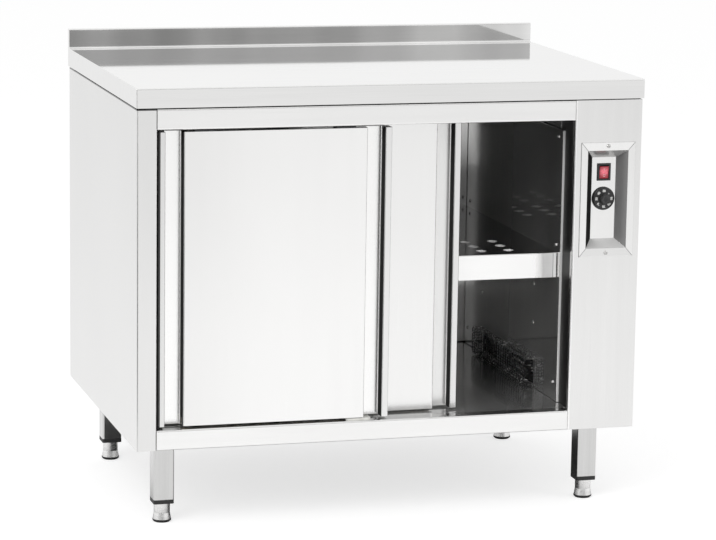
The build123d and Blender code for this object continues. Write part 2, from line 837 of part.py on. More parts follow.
def mesh_guard():
    """Mesh cage over the blower opening: a shallow tray of long narrow windows, open to the duct panel."""
    x_span = (oven_right - guard_depth, oven_right)
    y_span = (outlet_front - guard_margin, outlet_rear + guard_margin)
    z_span = (oven_floor + 2 * duct_margin, outlet_top + guard_margin)
    cage = block(x_span, y_span, z_span)
    cage = fillet(cage.faces().sort_by(Axis.X)[0].edges(), guard_corner)
    cage -= block(
        (x_span[0] + guard_sheet, x_span[1] + 1),
        (y_span[0] + guard_sheet, y_span[1] - guard_sheet),
        (z_span[0] + guard_sheet, z_span[1] - guard_sheet),
    )
    x_centres, x_step = window_centres((x_span[0] + guard_corner, x_span[1]), guard_strand_pitch)
    y_centres, y_step = window_centres((y_span[0] + guard_edge, y_span[1] - guard_edge), guard_hoop_pitch)
    z_centres, z_step = window_centres((z_span[0] + guard_edge, z_span[1] - guard_edge), guard_strand_pitch)
    x_windows = [(x - (x_step - guard_wire) / 2, x + (x_step - guard_wire) / 2) for x in x_centres]
    y_windows = [(y - (y_step - guard_wire) / 2, y + (y_step - guard_wire) / 2) for y in y_centres]
    z_windows = [(z - (z_step - guard_wire) / 2, z + (z_step - guard_wire) / 2) for z in z_centres]
    through_face = (x_span[0] - 1, x_span[0] + 2 * guard_sheet)
    through_height = (z_span[0] - 1, z_span[1] + 1)
    through_length = (y_span[0] - 1, y_span[1] + 1)
    end_window = (x_windows[0][0], x_windows[-1][1])
    windows = [block(through_face, y_limits, z_limits) for y_limits in y_windows for z_limits in z_windows]
    windows += [block(x_limits, y_limits, through_height) for x_limits in x_windows for y_limits in y_windows]
    windows += [block(end_window, through_length, z_limits) for z_limits in z_windows]
    return cage - windows


def blower_housing():
    """Scroll, tongue and end plates of the cross-flow blower, open at the outlet and at the inlet."""
    span = (blower_front, blower_rear)
    floor = (housing_face, outlet_bottom)
    turn = CenterArc((wheel_x, outlet_bottom + scroll_radius), scroll_radius, -90, scroll_sweep)
    scroll_line = Curve() + [Line(floor, turn @ 0), turn]
    scroll = make_face(offset(scroll_line, amount=sheet, side=Side.RIGHT))
    tongue_line = FilletPolyline(
        (housing_face, outlet_top),
        (housing_face + tongue_reach, outlet_top),
        (housing_face + tongue_reach - tongue_lean, outlet_top + tongue_height),
        radius=bend_radius,
    )
    tongue = make_face(offset(tongue_line, amount=sheet, side=Side.LEFT))
    shell_plane = Plane.XZ.offset(-blower_rear)
    housing = extrude(shell_plane * scroll, amount=blower_rear - blower_front)
    housing += extrude(shell_plane * tongue, amount=blower_rear - blower_front)
    for z_span in ((outlet_bottom - housing_flange, outlet_bottom), (outlet_top, outlet_top + housing_flange)):
        housing += block((housing_face, housing_face + sheet), span, z_span)
    plate_x = (housing_face, housing_face + end_plate_size[0])
    plate_z = (outlet_bottom - sheet, outlet_bottom - sheet + end_plate_size[1])
    front = block(plate_x, (blower_front - sheet, blower_front), plate_z)
    rear = block(plate_x, (blower_rear, blower_rear + sheet), plate_z)
    plates = fillet((front + rear).edges().filter_by(Axis.Y).group_by(Axis.X)[-1], end_plate_corner)
    axis = (wheel_x, wheel_z)
    collar = rod("Y", axis, wheel_hub_radius + sheet, (blower_front - bearing_length, blower_front))
    housing = housing + plates + collar
    housing -= rod("Y", axis, fan_shaft_radius + shaft_clearance, (blower_front - 10, blower_rear + 10))
    for z in element_heights():
        hole = element_radius + element_clearance
        housing -= rod("Y", (housing_face + element_offset, z), hole, (blower_rear - 1, blower_rear + 3))
    return housing


def element_heights():
    middle = (outlet_bottom + outlet_top) / 2
    return (middle - element_pitch / 2, middle + element_pitch / 2)


def fan_wheel():
    """Cross-flow wheel: a ring of curved blades between end discs, with a disc in the middle."""
    outer = wheel_radius - blade_edge
    bow = ThreePointArc((wheel_bore, 0), ((wheel_bore + outer) / 2, blade_bow), (outer, -blade_edge))
    blade = make_face(offset(bow, amount=blade_sheet, side=Side.LEFT))
    blades = [Rot(0, 0, turn * 360 / blade_count) * blade for turn in range(blade_count)]
    half = wheel_length / 2
    wheel = extrude(Sketch() + blades, amount=half, both=True)
    for z in (-half, -wheel_disc / 2, half - wheel_disc):
        wheel += Pos(0, 0, z + wheel_disc / 2) * Cylinder(wheel_radius, wheel_disc)
    wheel -= Cylinder(fan_shaft_radius, wheel_length + 10)
    return Pos(wheel_x, (blower_front + blower_rear) / 2, wheel_z) * Rot(90, 0, 0) * wheel


def motor_span():
    start = blower_rear + sheet + motor_post
    return (start, start + motor_size[1])


def fan_shaft():
    span = (blower_front - bearing_length + 1, motor_span()[1] + motor_post)
    return rod("Y", (wheel_x, wheel_z), fan_shaft_radius, span)


def fan_motor():
    """Shaded pole motor on four posts: laminated stack, coil and two bearing bridges."""
    start, end = motor_span()
    width, _, height = motor_size
    z_span = (wheel_z - height / 2, wheel_z + height / 2)
    stack = block((wheel_x - width / 2, wheel_x + width / 2), (start, end), z_span)
    stack = fillet(stack.edges().filter_by(Axis.Y), motor_corner)
    coil_x = wheel_x + width / 2
    bridge = motor_bridge
    coil = block(
        (coil_x - motor_coil / 2, coil_x + motor_coil),
        (start - bridge, end + bridge),
        (wheel_z - motor_coil, wheel_z + motor_coil),
    )
    stack += fillet(coil.edges().filter_by(Axis.Z), motor_corner)
    for y_span in ((start - bridge, start), (end, end + bridge)):
        stack += block((wheel_x - 2.5 * bridge, wheel_x + 2.5 * bridge), y_span, z_span)
    for x in (-1, 1):
        for z in (-1, 1):
            post = (wheel_x + x * (width / 2 - motor_inset), wheel_z + z * (height / 2 - motor_inset))
            stack += rod("Y", post, motor_post / 2, (start - motor_post, end + motor_post / 2))
    return stack - rod("Y", (wheel_x, wheel_z), fan_shaft_radius + shaft_clearance, (blower_rear, end + motor_post + bridge))


def heating_element():
    """Hairpin heater in the throat of the blower, with its cold ends through the rear plate."""
    lower, upper = element_heights()
    tail = blower_rear + element_tail
    bend_y = blower_front + element_end_gap
    bend = CenterArc((bend_y, (lower + upper) / 2), element_pitch / 2, 90, 180)
    path = Curve() + [Line((tail, upper), bend @ 0), bend, Line(bend @ 1, (tail, lower))]
    path = Plane.YZ.offset(housing_face + element_offset) * path
    start = Plane(origin=path @ 0, z_dir=path % 0)
    return sweep(start * Circle(element_radius), path=path)


# ---------------------------------------------------------------- control pocket
def control_pocket():
    """Pressed bezel: dished frame with mitred corners, then tapered walls down to a flat floor."""
    rim_y = body_front - pocket_rim
    proud_y = body_front - pocket_proud
    frame = extrude(rectangle_at(pocket_frame, body_front), amount=pocket_proud)
    walls = loft([
        rectangle_at([side + 2 * pocket_wall for side in pocket_mouth], body_front - pocket_rim / 2).face(),
        rectangle_at([side + 2 * pocket_wall for side in pocket_floor], pocket_back_y).face(),
    ])
    dish = loft([
        rectangle_at([side - 2 * pocket_frame_edge for side in pocket_frame], proud_y).face(),
        rectangle_at(pocket_mouth, rim_y).face(),
    ])
    recess = loft([rectangle_at(pocket_mouth, rim_y).face(), rectangle_at(pocket_floor, pocket_floor_y).face()])
    pocket = frame + walls - dish - recess
    for z in (pocket_height - pocket_screw_pitch / 2, pocket_height + pocket_screw_pitch / 2):
        pocket -= rod("Y", (column_middle, z), screw_head_radius + 0.5, (proud_y - 1, screw_seat()))
        pocket -= rod("Y", (column_middle, z), screw_radius + screw_clearance, (proud_y - 1, body_front + 1))
    hole_x, hole_z, _ = switch_body
    pocket -= Pos(column_middle, pocket_floor_y, switch_z) * Box(hole_x + switch_gap, 10, hole_z + switch_gap)
    return pocket - rod("Y", (column_middle, knob_z), shaft_hole_radius, (pocket_floor_y - 1, pocket_back_y + 1))


def screw_seat():
    return body_front - pocket_proud / 2


def pocket_screws():
    screws = []
    for z in (pocket_height - pocket_screw_pitch / 2, pocket_height + pocket_screw_pitch / 2):
        head = rod("Y", (column_middle, z), screw_head_radius, (screw_seat() - screw_head_height, screw_seat()))
        head = fillet(head.edges().group_by(Axis.Y)[0], 1.2)
        head -= Pos(column_middle, screw_seat() - screw_head_height, z) * Box(5, 1.6, 0.9)
        screws.append(head + rod("Y", (column_middle, z), screw_radius, (screw_seat() - 0.5, body_front + 8)))
    return Compound(screws)


# ---------------------------------------------------------------- switch and thermostat
def switch_housing():
    """Black switch body with a bezel on the pocket floor and a well that holds the rocker."""
    bezel_x, bezel_z, bezel_y = switch_bezel
    body_x, body_z, body_y = switch_body
    well_x, well_z, well_y = switch_well
    front = pocket_floor_y - bezel_y
    bezel = Pos(column_middle, pocket_floor_y - bezel_y / 2, switch_z) * Box(bezel_x, bezel_y, bezel_z)
    bezel = chamfer(bezel.faces().sort_by(Axis.Y)[0].edges(), 1.2)
    body = Pos(column_middle, pocket_floor_y + body_y / 2, switch_z) * Box(body_x, body_y, body_z)
    well = Pos(column_middle, front + well_y / 2, switch_z) * Box(well_x, well_y, well_z)
    pin = rod("X", (rocker_axis_y(), switch_z), rocker_pin_radius + shaft_clearance,
              (column_middle - body_x / 2 - 1, column_middle + body_x / 2 + 1))
    for x in (-5, 5):
        body += Pos(column_middle + x, pocket_floor_y + body_y + 3, switch_z) * Box(0.8, 8, 6)
    return bezel + body - well - pin


def rocker_axis_y():
    return pocket_floor_y - switch_bezel[2] + 4.5


def switch_rocker():
    """Lit rocker: its face is two planes that meet in a shallow V, and it rests tipped to one side."""
    width, height = rocker_size
    half = height / 2
    outline = Polyline(
        (-rocker_rise, -half),
        (-1.0, -half),
        (rocker_depth, -rocker_root / 2),
        (rocker_depth, rocker_root / 2),
        (-1.0, half),
        (-rocker_rise, half),
        (-rocker_dip, 0),
        close=True,
    )
    body = extrude(Plane.YZ * make_face(outline), amount=width / 2, both=True)
    reach = width / 2 + rocker_pin_length
    body += rod("X", (0, 0), rocker_pin_radius, (-reach, reach))
    return Pos(column_middle, rocker_axis_y(), switch_z) * Rot(rocker_tilt, 0, 0) * body


def thermostat_body():
    """Capillary thermostat behind the pocket floor, with the bush of its shaft."""
    width, depth, height = thermostat_size
    body = Pos(column_middle, pocket_back_y + depth / 2, knob_z) * Box(width, depth, height)
    body = fillet(body.edges().filter_by(Axis.Y), 5)
    back = pocket_back_y + depth
    body += rod("Y", (column_middle, knob_z), thermostat_bush_radius * 2, (back, back + 5))
    return body - rod("Y", (column_middle, knob_z), thermostat_shaft_radius + shaft_clearance,
                      (pocket_back_y - 1, pocket_back_y + depth - 3))


def knob_base():
    return pocket_floor_y - knob_gap


def thermostat_shaft():
    end = pocket_back_y + thermostat_size[1] - 4
    return rod("Y", (column_middle, knob_z), thermostat_shaft_radius, (knob_base() - knob_skirt - 6, end))


def thermostat_knob():
    """Round knob: a bevelled dial skirt, a grip and a raised bar across it."""
    base = knob_base()
    face = base - knob_skirt
    tip = face - knob_grip_height
    axis = (column_middle, knob_z)
    skirt = rod("Y", axis, knob_radius, (face, base))
    skirt = chamfer(skirt.edges().group_by(Axis.Y)[0], 1.6, 3.0)
    grip = rod("Y", axis, knob_grip_radius, (tip + 3, face + 1))
    bar = Pos(column_middle, (tip + face) / 2, knob_z) * Box(knob_bar, knob_grip_height, 2 * knob_grip_radius - 2)
    bar = fillet(bar.edges().group_by(Axis.Y)[0], 1.5)
    knob = skirt + grip + bar
    return knob - rod("Y", axis, thermostat_shaft_radius, (face - 6, base + 1))


# ---------------------------------------------------------------- supply entry
def cable_gland():
    """Gland in the base pan: domed nut below, threaded body through the sheet, lock nut above."""
    nut = Pos(*gland_place, base_bottom - 7) * extrude(RegularPolygon(gland_radius + 3, 6), 7)
    dome = rod("Z", gland_place, gland_radius, (base_bottom - gland_length, base_bottom - 5))
    dome = fillet(dome.edges().group_by(Axis.Z)[0], 4)
    body = rod("Z", gland_place, gland_body_radius, (base_bottom - 1, base_top + 8))
    lock = Pos(*gland_place, base_top) * extrude(RegularPolygon(gland_radius + 3, 6), 4)
    bore = rod("Z", gland_place, gland_bore, (base_bottom - gland_length - 1, base_top + 9))
    return nut + dome + body + lock - bore


def terminal_block():
    width, depth, height = terminal_size
    x = partition_face + liner_flange + terminal_setback
    y = body_rear - terminal_inset
    body = block((x, x + width), (y, y + depth), (base_top, base_top + height))
    step = width / terminal_ways
    bay_z = (base_top + height / 3, base_top + height + 1)
    for way in range(terminal_ways):
        middle = x + step * (way + 0.5)
        bay_x = (middle - 0.3 * step, middle + 0.3 * step)
        body -= block(bay_x, (y - 1, y + 0.3 * depth), bay_z)
        body -= block(bay_x, (y + 0.7 * depth, y + depth + 1), bay_z)
    return body


# ---------------------------------------------------------------- legs and feet
def leg(place):
    """Square tube leg, up through the base pan into its socket."""
    outer = fillet(Rectangle(leg_side, leg_side).vertices(), leg_corner)
    inner = offset(outer, -leg_wall)
    height = base_top + socket_height - leg_bottom
    return Pos(*place, leg_bottom) * extrude(outer - inner, height)


def leg_caps():
    """Black plug in the foot of each leg, with the bore that the stem of the foot runs in."""
    head = extrude(fillet(Rectangle(leg_side, leg_side).vertices(), leg_corner), cap_height)
    side = leg_side - 2 * (leg_wall + leg_clearance)
    plug = extrude(fillet(Rectangle(side, side).vertices(), leg_corner - leg_wall), cap_height + cap_plug)
    cap = head + plug - Cylinder(foot_stem_radius + shaft_clearance, 3 * (cap_height + cap_plug))
    return Compound([Pos(*place, leg_bottom - cap_height) * cap for place in leg_places.values()])


def foot(place):
    """Levelling foot: flared sleeve on a floor pad, with a stem up into the leg."""
    top = leg_bottom - cap_height - foot_gap
    neck = foot_pad_height + 0.4 * (top - foot_pad_height)
    outline = Polyline(
        (0, 0),
        (foot_bottom_radius - 2.5, 0),
        (foot_bottom_radius + 0.4, 2.5),
        (foot_bottom_radius + 0.4, foot_pad_height),
        (foot_bottom_radius, foot_pad_height),
        (foot_top_radius, neck),
        (foot_top_radius, top - 1.0),
        (foot_top_radius - 1.0, top),
        (foot_stem_radius, top),
        (foot_stem_radius, top + foot_stem_length - 1),
        (foot_stem_radius - 1, top + foot_stem_length),
        (0, top + foot_stem_length),
        close=True,
    )
    return Pos(*place, 0) * revolve(Plane.XZ * make_face(outline), Axis.Z)


# ---------------------------------------------------------------- all the pieces
for make in (
    worktop, worktop_stiffeners, left_side_panel, right_side_panel, rear_panel, top_rail, bottom_rail,
    control_column, base_pan, liner_floor, liner_left, liner_back, liner_ceiling, partition_wall,
    duct_panel, duct_panel_screws, insulation_left, insulation_base, door_track, track_stops, door_guide,
    shelf, shelf_pegs, mesh_guard, blower_housing, fan_wheel, fan_shaft, fan_motor, heating_element,
    control_pocket, pocket_screws, switch_housing, switch_rocker, thermostat_body, thermostat_shaft,
    thermostat_knob, cable_gland, terminal_block, leg_caps,
):
    save(make.__name__, make())

save_door("front_door", front_door_left, front_lane)
save_door("rear_door", rear_door_left, rear_lane)

for corner, place in leg_places.items():
    save(f"leg_{corner}", leg(place))
    save(f"foot_{corner}", foot(place))
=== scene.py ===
import math

import bmesh
import bpy
from mathutils import Matrix, Vector


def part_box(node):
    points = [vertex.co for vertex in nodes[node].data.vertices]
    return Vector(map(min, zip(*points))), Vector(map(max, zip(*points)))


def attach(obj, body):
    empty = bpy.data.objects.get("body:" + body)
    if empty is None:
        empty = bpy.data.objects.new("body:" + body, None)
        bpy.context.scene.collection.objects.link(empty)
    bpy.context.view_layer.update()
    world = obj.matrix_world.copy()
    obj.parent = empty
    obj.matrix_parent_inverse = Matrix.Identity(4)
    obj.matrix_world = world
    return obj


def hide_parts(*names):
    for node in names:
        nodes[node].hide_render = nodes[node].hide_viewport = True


# Plate warmer cabinet: finishes, small parts and studio. Metres, in the frame of the CAD part.

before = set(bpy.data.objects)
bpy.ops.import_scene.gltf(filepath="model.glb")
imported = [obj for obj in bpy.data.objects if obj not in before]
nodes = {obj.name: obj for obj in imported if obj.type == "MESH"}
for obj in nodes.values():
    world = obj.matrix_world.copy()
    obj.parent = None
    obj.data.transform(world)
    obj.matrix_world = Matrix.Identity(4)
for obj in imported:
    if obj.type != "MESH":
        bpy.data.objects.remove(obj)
scene = bpy.context.scene
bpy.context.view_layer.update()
MM = 0.001

# ---------------------------------------------------------------- camera
CAMERA_PLACE = (-1.622149, -5.805949, 1.533554)
CAMERA_YAW, CAMERA_PITCH, CAMERA_ROLL = 0.277, 0.181, 0.015
CAMERA_REACH = 60.0
FOCAL_PIXELS = 3033.337
FRAME_WIDTH = 716
SENSOR = 36.0


def camera_axes():
    """Right, up and backward axes of the camera."""
    cos_yaw, sin_yaw = math.cos(CAMERA_YAW), math.sin(CAMERA_YAW)
    cos_pitch, sin_pitch = math.cos(CAMERA_PITCH), math.sin(CAMERA_PITCH)
    forward = Vector((sin_yaw * cos_pitch, cos_yaw * cos_pitch, -sin_pitch))
    level = Vector((cos_yaw, -sin_yaw, 0.0))
    upright = level.cross(forward)
    cos_roll, sin_roll = math.cos(CAMERA_ROLL), math.sin(CAMERA_ROLL)
    return cos_roll * level + sin_roll * upright, cos_roll * upright - sin_roll * level, -forward


def make_camera():
    lens = bpy.data.cameras.new("camera")
    lens.sensor_width = SENSOR
    lens.lens = FOCAL_PIXELS / FRAME_WIDTH * SENSOR
    lens.clip_end = CAMERA_REACH
    camera = bpy.data.objects.new("camera", lens)
    turn = Matrix(camera_axes()).transposed().to_4x4()
    camera.matrix_world = Matrix.Translation(CAMERA_PLACE) @ turn
    scene.collection.objects.link(camera)
    scene.camera = camera


# ---------------------------------------------------------------- node helpers
NOISE_LOW, NOISE_HIGH = 0.3, 0.7    # a noise lies mostly between them


class Tree:
    """A node tree that is written from the outputs of one node to the inputs of the next."""

    def __init__(self, tree):
        self.tree = tree
        tree.nodes.clear()

    def add(self, kind, inputs=None, **settings):
        node = self.tree.nodes.new(kind)
        for key, value in settings.items():
            setattr(node, key, value)
        for key, value in (inputs or {}).items():
            socket = node.inputs[key]
            if isinstance(value, bpy.types.NodeSocket):
                self.tree.links.new(value, socket)
            else:
                socket.default_value = value
        return node

    def math(self, operation, *values):
        return self.add("ShaderNodeMath", dict(enumerate(values)), operation=operation).outputs[0]

    def times(self, first, second):
        return self.math("MULTIPLY", first, second)

    def away(self, value, middle):
        """Distance of a value from a middle."""
        return self.math("ABSOLUTE", self.math("SUBTRACT", value, middle))

    def mix(self, factor, low, high, blend="MIX"):
        """A mix of two colours."""
        node = self.add("ShaderNodeMix", data_type="RGBA", blend_type=blend)
        for index, value in ((0, factor), (6, low), (7, high)):
            if isinstance(value, bpy.types.NodeSocket):
                self.tree.links.new(value, node.inputs[index])
            else:
                node.inputs[index].default_value = value
        return node.outputs[2]

    def range(self, value, low, high, to_low, to_high, kind="LINEAR"):
        """Maps low and high to two other values, and holds these beyond."""
        values = {"Value": value, "From Min": low, "From Max": high, "To Min": to_low, "To Max": to_high}
        return self.add("ShaderNodeMapRange", values, interpolation_type=kind).outputs["Result"]

    def soft(self, value, low, high, to_low, to_high):
        """The same with soft ends."""
        return self.range(value, low, high, to_low, to_high, "SMOOTHSTEP")

    def spread(self, noise, to_low, to_high):
        """The same for what a noise mostly gives."""
        return self.range(noise, NOISE_LOW, NOISE_HIGH, to_low, to_high)

    def noise(self, place, scale, detail=3.0, roughness=0.55):
        """Noise in the frame of the part; scale is one number, or one for each axis."""
        if not isinstance(scale, (tuple, list)):
            scale = (scale,) * 3
        stretched = self.add("ShaderNodeMapping", {"Vector": place, "Scale": scale}).outputs[0]
        values = {"Vector": stretched, "Scale": 1.0, "Detail": detail, "Roughness": roughness}
        return self.add("ShaderNodeTexNoise", values).outputs["Fac"]

    def place(self):
        return self.add("ShaderNodeTexCoord").outputs["Object"]

    def along(self, axis):
        """Where a point lies along one axis."""
        return self.axes(self.place())[axis]

    def normal(self, axis):
        """One axis of the face's direction, from -1 to 1."""
        return self.axes(self.add("ShaderNodeTexCoord").outputs["Normal"])[axis]

    def facing(self, axis):
        """How squarely a face looks along an axis, from 0 to 1."""
        return self.math("ABSOLUTE", self.normal(axis))

    def front_face(self):
        """1 on a face that looks to the front, and 0 on the others."""
        return self.range(self.normal("Y"), -0.98, -0.8, 1.0, 0.0)

    def axes(self, vector):
        return self.add("ShaderNodeSeparateXYZ", {0: vector}).outputs

    def bump(self, height, distance, normal=None):
        values = {"Height": height, "Distance": distance, "Strength": 1.0}
        if normal is not None:
            values["Normal"] = normal
        return self.add("ShaderNodeBump", values).outputs[0]


def rgb(level, green=None, blue=None):
    if green is None:
        return (level, level, level, 1)
    return (level, green, blue, 1)


def new_material(name):
    material = bpy.data.materials.new(name)
    material.use_nodes = True
    return material, Tree(material.node_tree)


def surface(tree, **inputs):
    """Ends a material in one Principled shader."""
    values = {key.replace("_", " "): value for key, value in inputs.items()}
    shader = tree.add("ShaderNodeBsdfPrincipled", values)
    tree.add("ShaderNodeOutputMaterial", {"Surface": shader.outputs[0]})


# ---------------------------------------------------------------- places in the CAD part
SWITCH_LOW, SWITCH_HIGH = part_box("switch_housing")
ROCKER_LOW, ROCKER_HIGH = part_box("switch_rocker")
SWITCH_PLACE = Vector(((SWITCH_LOW.x + SWITCH_HIGH.x) / 2, ROCKER_LOW.y, (SWITCH_LOW.z + SWITCH_HIGH.z) / 2))
ROCKER_AXIS_Y = -0.3215
ROCKER_AXIS = Vector(((ROCKER_LOW.x + ROCKER_HIGH.x) / 2, ROCKER_AXIS_Y, SWITCH_PLACE.z))
KNOB_LOW, KNOB_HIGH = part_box("thermostat_knob")
POCKET_LOW, POCKET_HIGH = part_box("control_pocket")
COLUMN_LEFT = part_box("control_column")[0].x
SHELF_LOW, SHELF_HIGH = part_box("shelf")
DUCT_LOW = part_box("duct_panel")[0]
LINER_LEFT_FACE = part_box("liner_left")[1].x
OVEN_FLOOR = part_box("liner_floor")[1].z


# ---------------------------------------------------------------- general finishes
STEEL_TINT = (1.0, 0.997, 0.99)
FINE_GRAIN = (7.0, 900.0)           # scales of a noise along the streaks and across them
BROAD_GRAIN = (2.0, 60.0)
FINE_SHARE, BROAD_SHARE = 0.6, 0.4
CLOUD_SCALE = 2.3
GRAIN_DEPTH = 0.002 * MM
GRAIN_DULL = 0.03
FOLD_RADIUS = 0.9 * MM
STEEL_GLOSS = 0.5
# the colour factor and the added roughness of places painted dark: painted shade in recesses, and dark seams
DARK_PAINT_LEVEL, DARK_PAINT_DULL = 0.03, 0.4

SPARK_SCALE, SPARK_DEPTH = 1400.0, 0.03 * MM
MARK_SCALE = 60.0
MARK_SHADES = (0.82, 1.12)
MARK_DULL = 0.07

PLATING_SHADES, CRYSTAL_SHADES = (0.82, 1.05), (0.93, 1.03)
PLATING_DEPTH = 0.02 * MM

# spots of the wire painted bright as glints
WIRE_DARK, WIRE_GLINT = 0.035, 0.9
GLINT_SCALE, GLINT_START, GLINT_FULL = 210.0, 0.60, 0.66
WIRE_MARK_DEPTH = 0.03 * MM

FIBRE_COLOUR = (0.74, 0.67, 0.45)
FIBRE_PATCH_SCALE, FIBRE_PATCH_SHADE = 14.0, 0.72
FIBRE_SCALE, FIBRE_DEPTH = (90.0, 260.0, 420.0), 0.8 * MM

FOOT_COLOUR = (0.95, 0.945, 0.94)
FOOT_PAD, FOOT_PAD_TOP = 0.02, 5.6 * MM
FOOT_LINE_SCALE, FOOT_LINE_DEPTH = (20.0, 20.0, 2600.0), 0.04 * MM
FOOT_STAIN_SCALE = 130.0


def grain_scale(axis, scales):
    along, across = scales
    return tuple(along if name == axis else across for name in "XYZ")


def steel(name, colour, rough, axis, grain=0.08, cloud=0.03, deep=None, tone=None, matt=None,
          metallic=1.0, fold=FOLD_RADIUS):
    """Brushed stainless sheet: fine streaks along one axis, faint clouds and rounded folds.

    deep is a function of the tree that gives, from 0 to 1, how far a place is painted dark: painted shade in
    recesses, and dark seams.
    tone gives a factor for the colour in the same way, used for painted light and shade, and matt how far the
    sheet is blasted dull.
    """
    material, t = new_material(name)
    place = t.place()
    fine = t.noise(place, grain_scale(axis, FINE_GRAIN), 4.0, 0.7)
    broad = t.noise(place, grain_scale(axis, BROAD_GRAIN), 2.0)
    clouds = t.noise(place, CLOUD_SCALE, 2.0)
    streak = t.math("ADD", t.times(fine, FINE_SHARE), t.times(broad, BROAD_SHARE))
    shade = t.times(t.spread(streak, 1.0 - grain, 1.0), t.spread(clouds, 1.0 - cloud, 1.0))
    roughness = t.spread(streak, rough - GRAIN_DULL, rough + GRAIN_DULL)
    metal, gloss = metallic, STEEL_GLOSS
    if tone:
        shade = t.times(shade, tone(t))
    if matt:
        metal = t.times(t.math("SUBTRACT", 1.0, matt(t)), metallic)
    if deep:
        dark = deep(t)
        shade = t.times(shade, t.range(dark, 0.0, 1.0, 1.0, DARK_PAINT_LEVEL))
        roughness = t.math("ADD", roughness, t.times(dark, DARK_PAINT_DULL))
        metal = t.times(t.range(dark, 0.0, 1.0, 1.0, 0.0), metal)
        gloss = t.range(dark, 0.0, 1.0, STEEL_GLOSS, 0.0)
    base = t.mix(1.0, rgb(*(colour * part for part in STEEL_TINT)), shade, "MULTIPLY")
    edges = t.add("ShaderNodeBevel", {"Radius": fold}, samples=4).outputs[0] if fold else None
    surface(t, Base_Color=base, Metallic=metal, Roughness=roughness, Specular_IOR_Level=gloss,
            Normal=t.bump(fine, GRAIN_DEPTH, edges))
    return material


def plastic(name, colour, rough):
    """Moulded plastic with a fine sparked grain and slight marks."""
    material, t = new_material(name)
    place = t.place()
    grain = t.noise(place, SPARK_SCALE, 2.0)
    marks = t.noise(place, MARK_SCALE, 4.0)
    base = t.mix(1.0, rgb(*colour), t.spread(marks, *MARK_SHADES), "MULTIPLY")
    roughness = t.range(t.math("ADD", grain, marks), 0.7, 1.3, rough - MARK_DULL, rough + MARK_DULL)
    surface(t, Base_Color=base, Roughness=roughness, Normal=t.bump(grain, SPARK_DEPTH))
    return material


def plated(name, colour, rough, spots=240.0):
    """Zinc plated or turned metal: mottled, with fine crystals."""
    material, t = new_material(name)
    place = t.place()
    mottle = t.noise(place, spots, 4.0)
    crystals = t.add("ShaderNodeTexVoronoi", {"Vector": place, "Scale": spots * 3}).outputs["Distance"]
    shade = t.times(t.spread(mottle, *PLATING_SHADES), t.range(crystals, 0.0, 0.7, *CRYSTAL_SHADES))
    base = t.mix(1.0, rgb(*colour), shade, "MULTIPLY")
    roughness = t.spread(mottle, rough - 0.06, rough + 0.1)
    surface(t, Base_Color=base, Metallic=1.0, Roughness=roughness, Normal=t.bump(mottle, PLATING_DEPTH))
    return material


def wire_finish():
    """Dark coated wire, with spots of its colour painted bright as glints."""
    material, t = new_material("wire_coating")
    place = t.place()
    marks = t.noise(place, MARK_SCALE, 4.0)
    glints = t.range(t.noise(place, GLINT_SCALE, 1.0), GLINT_START, GLINT_FULL, 0.0, 1.0)
    dark = t.mix(1.0, rgb(WIRE_DARK), t.spread(marks, *MARK_SHADES), "MULTIPLY")
    surface(t, Base_Color=t.mix(glints, dark, rgb(WIRE_GLINT)), Metallic=t.range(glints, 0.0, 1.0, 0.6, 0.35),
            Roughness=t.spread(marks, 0.15, 0.27), Normal=t.bump(marks, WIRE_MARK_DEPTH))
    return material


def fibre_finish():
    """Mineral fibre board, matted and slightly yellow."""
    material, t = new_material("mineral_fibre")
    place = t.place()
    matted = t.noise(place, FIBRE_SCALE, 6.0, 0.7)
    patches = t.range(t.noise(place, FIBRE_PATCH_SCALE, 4.0), 0.35, 0.65, 0.0, 1.0)
    base = t.mix(patches, rgb(*FIBRE_COLOUR), rgb(*(part * FIBRE_PATCH_SHADE for part in FIBRE_COLOUR)))
    base = t.mix(1.0, base, t.spread(matted, 0.8, 1.08), "MULTIPLY")
    surface(t, Base_Color=base, Roughness=t.spread(matted, 0.85, 0.98), Normal=t.bump(matted, FIBRE_DEPTH))
    return material


def foot_finish():
    """Pressed steel foot on a black pad, with turned lines round the cone."""
    material, t = new_material("foot_finish")
    place = t.place()
    lines = t.noise(place, FOOT_LINE_SCALE, 3.0)
    stain = t.noise(place, FOOT_STAIN_SCALE, 4.0)
    shade = t.range(t.math("ADD", lines, stain), 0.7, 1.3, 0.7, 1.0)
    metal = t.mix(1.0, rgb(*FOOT_COLOUR), shade, "MULTIPLY")
    is_metal = t.math("GREATER_THAN", t.axes(place)["Z"], FOOT_PAD_TOP)
    base = t.mix(is_metal, rgb(FOOT_PAD), metal)
    roughness = t.math("ADD", t.times(is_metal, -0.4), t.spread(stain, 0.62, 0.74))
    surface(t, Base_Color=base, Metallic=is_metal, Roughness=roughness, Normal=t.bump(lines, FOOT_LINE_DEPTH))
    return material


# ---------------------------------------------------------------- finishes of the doors
# painted light and shade on the door skins: recessed faces of the grips painted lighter; one grip wall, the
# gap at the left edge, the folded edges and a band near the left painted darker
GRIP_START, GRIP_FULL = 0.3 * MM, 1.2 * MM          # deeper than these behind its face, a skin is in a grip
GRIP_FLOOR_PAINTED_LIGHT = 0.98
GAP_PAINTED_SHADE, GAP_BLUR = 0.9, 0.6 * MM
LIP_START, LIP_END, LIP_PAINTED_SHADE = 12.5 * MM, 13.5 * MM, 0.88
DOOR_SHADE_START, DOOR_SHADE_END, DOOR_SHADE = 40 * MM, 260 * MM, 0.93


